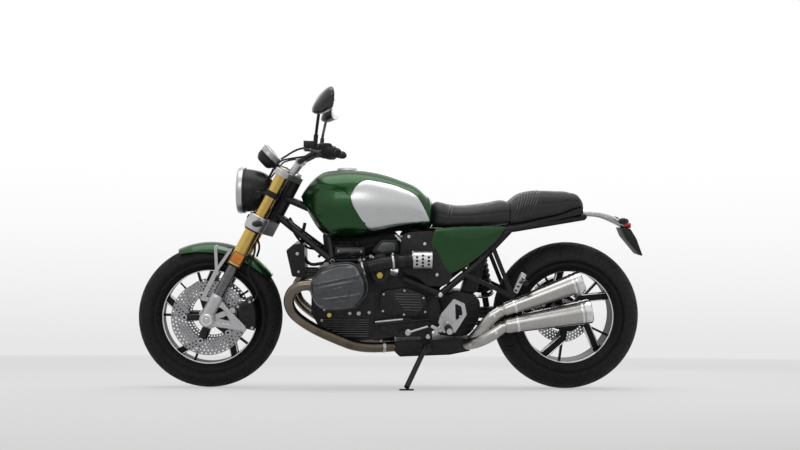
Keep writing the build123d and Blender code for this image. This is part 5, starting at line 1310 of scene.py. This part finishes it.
def buildMirrors():
    # a pressed teardrop shell with its glass set in, on a bent stem with a thick sleeve and a lock nut
    shells, glasses, stems, sleeves = [], [], [], []
    rim = roundedOutline([(8, 1251), (62, 1250), (88, 1226), (80, 1182), (44, 1158), (-14, 1148), (-60, 1160), (-70, 1196), (-50, 1240)], 24, 6)
    for side in (1, -1):
        hub = np.array([1012.0, side * 390, 1200.0])
        swing = math.radians(17)
        across = np.array([math.sin(swing) * -side, math.cos(swing), 0]) * side
        out = np.array([math.cos(swing), math.sin(swing) * side, 0])
        flat = (rim - np.array([12, 1200])) * np.array([0.93, 0.95])

        def place(scale, lift, drop=0.0, slide=0.0):
            return hub + scale * (flat[:, :1] * across + flat[:, 1:] * np.array([0, 0, 1.0])) + lift * out + slide * across + np.array([0, 0, drop])

        rows = [place(0.9, -1), place(0.97, -3), place(1.0, -1), place(1.0, 3)]
        for k in range(1, 15):
            t = k / 15
            rows.append(place(1 - 0.9 * t**2.0, 3 + 60 * t**0.9, -44 * t, -22 * t))
        shells.append(sheetShape(np.stack(rows), loopV=True, capped=True))
        glasses.append(sheetShape(np.stack([place(0.94, -4.2), place(0.92, -5), place(0.5, -5.6), place(0.1, -6)]), loopV=True, capped=True))
        foot = np.array([1070, side * 268, 1022.0])
        knee = np.array([1060, side * 308, 1112.0])
        head = np.array([1050, side * 354, 1172.0])
        path = smoothPath([foot, foot + (-4, side * 8, 50), knee, head], 40)
        stems.append(tubeShape(path, 6.2, 16))
        sleeves.append(tubeShape(path[:12], 9.0, 20))
        sleeves.append(lathe([(0, 4), (0, 12), (8, 12), (9, 11), (9, 4)], foot, (0, 0, 1), 6, closed=False))
        sleeves.append(lathe([(-9, 2), (-9, 10), (-4, 12.5), (4, 12.5), (9, 10), (9, 2)], head, across, 24, closed=False))
    makePiece("mirrorShells", joinShapes(shells), glossBlack, "steering", sharp=50, replaced=["mirrors"])
    makePiece("mirrorGlasses", joinShapes(glasses), mirrorGlass, "steering")
    makePiece("mirrorStems", joinShapes(stems), satinBlack, "steering")
    makePiece("mirrorSleeves", joinShapes(sleeves), blackPlastic, "steering")


barEnd, barBend = np.array([976, 410, 993.0]), np.array([1057, 195, 1006.0])
gripLine = unit(barBend - barEnd)


def onBar(inset, side):
    # a place on the handlebar's outer stretch, measured in from its end
    return (barEnd + gripLine * inset) * np.array([1, side, 1])


def buildControls():
    # ribbed grips, switch blocks with buttons, fluid reservoirs with lids, and bent levers
    ribs, blocks, buttons, lids, levers, ends = [], [], [], [], [], []
    for side in (1, -1):
        line = gripLine * np.array([1, side, 1])
        profile = [(0, 10)]
        for k in range(22):
            s = 5.2 * k
            profile += [(s, 16.6), (s + 0.8, 17.6), (s + 3.2, 17.6), (s + 4.0, 16.6)]
        profile += [(116, 16.8), (118, 21), (122, 21), (123, 19), (123, 10)]
        ribs.append(lathe(profile, onBar(8, side), line, 40, closed=False))
        ends.append(lathe([(-14, 3), (-13, 12), (-8, 15), (0, 15.6), (6, 14.5), (7, 3)], onBar(0, side), line, 40, closed=False))
        middle = onBar(132 + 22, side)
        up = unit(np.cross(line, np.cross(np.array([0, 0, 1.0]), line)))
        ahead = unit(np.cross(up, line) * np.array([1, 1, 1]))
        ahead = ahead if ahead[0] > 0 else -ahead

        def place(p, origin=middle):
            return origin + p[:, :1] * ahead + p[:, 2:3] * up + p[:, 1:2] * line

        box = roundedOutline([(26, 22), (20, 31), (-18, 31), (-26, 16), (-26, -20), (-14, -31), (16, -31), (26, -18)], 8, 5)
        blocks.append(closedPlate(box, -22, 0.3, 3, place))
        blocks.append(closedPlate(box * 0.97, 0.6, 22, 3, place))
        for a, b, r in ((-20, 14, 5), (-24, 0, 6), (-21, -14, 4.5)):
            at = middle + ahead * a + up * b
            buttons.append(lathe([(0, 1), (0, r), (5, r), (6, r - 1), (6, 1)], at, -ahead, 20, closed=False))
        pump = middle + np.array([62, 0, 8.0])
        lid = roundedOutline([(24, 18), (-24, 18), (-24, -18), (24, -18)], 8, 5)
        flat = lambda p, c=pump: c + p[:, :1] * np.array([1.0, 0, 0]) + p[:, 2:3] * np.array([0, 1.0, 0]) + p[:, 1:2] * np.array([0, 0, 1.0])
        blocks.append(closedPlate(lid, 0, 24, 2, flat))
        lids.append(closedPlate(lid * 1.04, 24.4, 30, 2, flat))
        for dx in (-17, 17):
            ends.append(boltShape(pump + (dx, 0, 29.5), (0, 0, 1), 3.2, 2))
        blocks.append(barShape(middle + (16, 0, 6), pump + (-10, 0, 8), 13, 2))
        tip = onBar(4, side) + np.array([62, 0, 0.0])
        path = smoothPath([pump + (8, side * 10, -4), pump + (16, side * 40, -4), (pump + tip) / 2 + (14, 0, -2), tip], 40)
        wide = np.interp(np.linspace(0, 1, 40), [0, 0.3, 0.9, 0.97, 1], [8, 6.5, 5.2, 7.5, 6])
        levers.append(tubeShape(path, wide, 16))
        levers.append(lathe([(-9, 2), (-9, 9), (9, 9), (9, 2)], pump + (10, side * 6, -4), (0, 0, 1), 24, closed=False))
    makePiece("gripRibs", joinShapes(ribs), gripRubber, "steering", replaced=["grips"])
    makePiece("barEnds", joinShapes(ends), satinBlack, "steering")
    makePiece("switchBlocks", joinShapes(blocks), blackPlastic, "steering", replaced=["controls"])
    makePiece("switchButtons", joinShapes(buttons), glossBlack, "steering")
    makePiece("reservoirLids", joinShapes(lids), glossBlack, "steering")
    makePiece("handLevers", joinShapes(levers), satinBlack, "steering")


def riserDress():
    # clamp caps with two screws each, and the top yoke's nut and ignition cover
    shapes, darks = [], []
    for side in (1, -1):
        for x, z in ((1131, 972), (1156, 966)):
            shapes.append(boltShape((x, side * 50, z), (-0.1, 0, 1), 5.5, 6))
            shapes.append(boltShape((x, side * 60, z - 1), (-0.1, 0, 1), 3.5, 4))
    at = forkPoint(691, -43.5, 0)
    shapes.append(lathe([(0, 3), (0, 21), (5, 21), (7, 19), (7, 12), (12, 11), (12, 3)], at, forkUp, 6, closed=False))
    spot = forkPoint(691, -12, 0)
    darks.append(lathe([(0, 3), (0, 17), (8, 17), (10, 15), (10, 3)], spot, forkUp, 40, closed=False))
    makePiece("yokeBolts", joinShapes(shapes), machined, "steering")
    makePiece("yokeCover", joinShapes(darks), blackPlastic, "steering")
    cables = []
    for side in (1, -1):
        cables.append([onBar(150, side) + (40, 0, -18), (1206, side * 136, 962), (1244, side * 88, 930), (1268, side * 52, 894), (1294, side * 34, 862)])
    cables.append([(1258, 18, 926), (1268, 20, 904), (1282, 14, 884), (1302, 8, 862)])
    makePiece("controlCables", joinShapes([tubeShape(smoothPath(run, 60), 3.6, 10) for run in cables]), gripRubber, "steering")


def indicatorFronts():
    shells, lenses = [], []
    for side in (1, -1):
        at = forkPoint(446, 7, side * 183) + (-10, 0, 0)
        shells.append(lathe([(-22, 3), (-21, 8), (-10, 12.5), (4, 13.5), (6, 12.8), (6, 3)], at, (1, 0, 0), 40, closed=False))
        shells.append(barShape(forkPoint(446, 7, side * 136), at, 5.5, 1))
        lenses.append(lathe([(5.4, 2), (5.4, 12.4), (12, 11.5), (18, 8), (21, 3), (21.4, 1)], at, (1, 0, 0), 40, closed=False))
    makePiece("frontIndicatorShells", joinShapes(shells), blackPlastic, "steering", replaced=["front_indicators"])
    makePiece("frontIndicatorLenses", joinShapes(lenses), smokedLens, "steering")


buildHeadlamp()
buildDial()
buildMirrors()
buildControls()
riserDress()
indicatorFronts()
print("cockpit dressed")


# Studio: a seamless pale floor, soft lamps and the photograph's camera

studio = {
    "floorColour": 0.6, "worldLight": 0.62, "floorSize": 160.0, "cameraReach": 4.57, "nearReach": 1.95, "fadeRate": 1.85, "fadeLimit": 0.95,
    "backdropLow": 0.8, "backdropRise": 0.17,
    "lens": 49.19, "shiftX": -0.0542, "shiftY": -0.0473,
    "cameraPlace": (839.1, 4665.6, 929.7), "yaw": -0.0648, "pitch": -0.0152, "roll": 0.0162}


def seenRays(tree):
    # 1 for rays that come from the camera, a mirror or a lens, and 0 for the light on the object
    path = tree.nodes.new("ShaderNodeLightPath").outputs
    total = path["Is Camera Ray"]
    for name in ("Is Glossy Ray", "Is Transmission Ray"):
        added = tree.nodes.new("ShaderNodeMath")
        added.use_clamp = True
        tree.links.new(total, added.inputs[0])
        tree.links.new(path[name], added.inputs[1])
        total = added.outputs[0]
    return total


def buildFloor():
    # a wide flat square; far behind the motorcycle its paper fades into the white of the background
    size = studio["floorSize"] / 2
    mesh = bpy.data.meshes.new("studioFloor")
    mesh.from_pydata([(-size, -size, 0), (size, -size, 0), (size, size, 0), (-size, size, 0)], [], [(0, 1, 2, 3)])
    floor = bpy.data.objects.new("studioFloor", mesh)
    bpy.context.scene.collection.objects.link(floor)
    material, tree, shader, place = newFinish("floorPaper")
    tone = studio["floorColour"]
    drift = addNoise(tree, place, 0.6, 2.0)
    tree.links.new(addColours(tree, drift, (tone, tone, tone), (tone * 1.02,) * 3), shader.inputs["Base Color"])
    shader.inputs["Roughness"].default_value = 0.9
    shader.inputs["Specular IOR Level"].default_value = 0.1
    # seen from the front of the photograph, the paper nears the backdrop's tone as share = 0.95 - 1.85 / distance
    parts = tree.nodes.new("ShaderNodeSeparateXYZ")
    tree.links.new(place, parts.inputs["Vector"])
    value = parts.outputs["Y"]
    for operation, first, second in (
            ("SUBTRACT", studio["cameraReach"], None), ("MAXIMUM", studio["nearReach"], None), ("DIVIDE", studio["fadeRate"], None),
            ("SUBTRACT", studio["fadeLimit"], None), ("MULTIPLY", None, seenRays(tree))):
        step = tree.nodes.new("ShaderNodeMath")
        step.operation = operation
        step.use_clamp = operation == "MULTIPLY"
        if first is None:
            tree.links.new(value, step.inputs[0])
            tree.links.new(second, step.inputs[1])
        else:
            step.inputs[0].default_value = first
            tree.links.new(value, step.inputs[1])
        value = step.outputs[0]
    # and it has wholly reached it far out on every side
    reach = tree.nodes.new("ShaderNodeVectorMath")
    reach.operation = "LENGTH"
    tree.links.new(place, reach.inputs[0])
    far = addRange(tree, reach.outputs["Value"], 0.0, 1.0, 3.0, 12.0)
    farSeen = tree.nodes.new("ShaderNodeMath")
    farSeen.operation = "MULTIPLY"
    tree.links.new(far, farSeen.inputs[0])
    tree.links.new(seenRays(tree), farSeen.inputs[1])
    both = tree.nodes.new("ShaderNodeMath")
    both.operation = "MAXIMUM"
    tree.links.new(value, both.inputs[0])
    tree.links.new(farSeen.outputs[0], both.inputs[1])
    share = both.outputs[0]
    paper = tree.nodes.new("ShaderNodeEmission")
    paper.inputs["Strength"].default_value = studio["backdropLow"]
    blend = tree.nodes.new("ShaderNodeMixShader")
    tree.links.new(share, blend.inputs["Fac"])
    tree.links.new(shader.outputs["BSDF"], blend.inputs[1])
    tree.links.new(paper.outputs["Emission"], blend.inputs[2])
    tree.links.new(blend.outputs["Shader"], tree.nodes["Material Output"].inputs["Surface"])
    mesh.materials.append(material)


def buildWorld():
    # a white surround for what is seen, at strength 1, and a dimmer even light on the object
    world = bpy.data.worlds.new("studioLight")
    bpy.context.scene.world = world
    world.use_nodes = True
    tree = world.node_tree
    light = tree.nodes["Background"]
    light.inputs["Color"].default_value = (1, 1, 1, 1)
    # the seen backdrop rises from a pale grey at the floor's edge to white above it
    parts = tree.nodes.new("ShaderNodeSeparateXYZ")
    tree.links.new(tree.nodes.new("ShaderNodeTexCoord").outputs["Generated"], parts.inputs["Vector"])
    rise = tree.nodes.new("ShaderNodeMapRange")
    rise.interpolation_type = "SMOOTHSTEP"
    rise.inputs["From Min"].default_value = -studio["backdropRise"]
    rise.inputs["From Max"].default_value = studio["backdropRise"]
    rise.inputs["To Min"].default_value = 2 * studio["backdropLow"] - 1
    tree.links.new(parts.outputs["Z"], rise.inputs["Value"])
    level = tree.nodes.new("ShaderNodeMapRange")
    level.inputs["To Min"].default_value = studio["worldLight"]
    tree.links.new(seenRays(tree), level.inputs["Value"])
    tree.links.new(rise.outputs["Result"], level.inputs["To Max"])
    tree.links.new(level.outputs["Result"], light.inputs["Strength"])


def addLamp(name, place, target, size, power):
    data = bpy.data.lights.new(name, "AREA")
    data.shape = "RECTANGLE"
    data.size, data.size_y = size
    data.energy = power
    lamp = bpy.data.objects.new(name, data)
    bpy.context.scene.collection.objects.link(lamp)
    lamp.location = place
    back = np.asarray(place, float) - np.asarray(target, float)
    lamp.rotation_mode = "QUATERNION"
    lamp.rotation_quaternion = Vector(back).to_track_quat("Z", "Y")


def buildCamera():
    # the fitted camera turns with the parked lean: its axes are turned by yaw, pitch and roll, then leaned
    yaw, pitch, roll = studio["yaw"], studio["pitch"], studio["roll"]
    right, up, ahead = np.array([-1.0, 0, 0]), np.array([0, 0, 1.0]), np.array([0, -1.0, 0])
    right, ahead = math.cos(yaw) * right + math.sin(yaw) * ahead, -math.sin(yaw) * right + math.cos(yaw) * ahead
    ahead, up = math.cos(pitch) * ahead + math.sin(pitch) * up, -math.sin(pitch) * ahead + math.cos(pitch) * up
    right, up = math.cos(roll) * right + math.sin(roll) * up, -math.sin(roll) * right + math.cos(roll) * up
    axes = np.stack([right, up, -ahead]) @ leanTurn.T
    spot = park([studio["cameraPlace"]])[0]
    data = bpy.data.cameras.new("photoCamera")
    data.lens = studio["lens"]
    data.shift_x, data.shift_y = studio["shiftX"], studio["shiftY"]
    camera = bpy.data.objects.new("photoCamera", data)
    bpy.context.scene.collection.objects.link(camera)
    matrix = Matrix.Identity(4)
    for k in range(3):
        matrix[0][k], matrix[1][k], matrix[2][k] = axes[k]
    matrix[0][3], matrix[1][3], matrix[2][3] = spot
    camera.matrix_world = matrix
    bpy.context.scene.camera = camera


buildFloor()
buildWorld()
addLamp("overheadLamp", (0.0, 0.2, 3.6), (0, 0, 0.4), (4.5, 2.2), 70)
addLamp("cameraSideLamp", (1.2, 4.6, 2.6), (0, 0, 0.5), (3.0, 1.6), 40)
addLamp("farSideLamp", (-1.2, -3.6, 2.6), (0, 0, 0.6), (3.0, 1.6), 35)
buildCamera()
bpy.context.scene.view_settings.view_transform = "Standard"
print("studio ready")
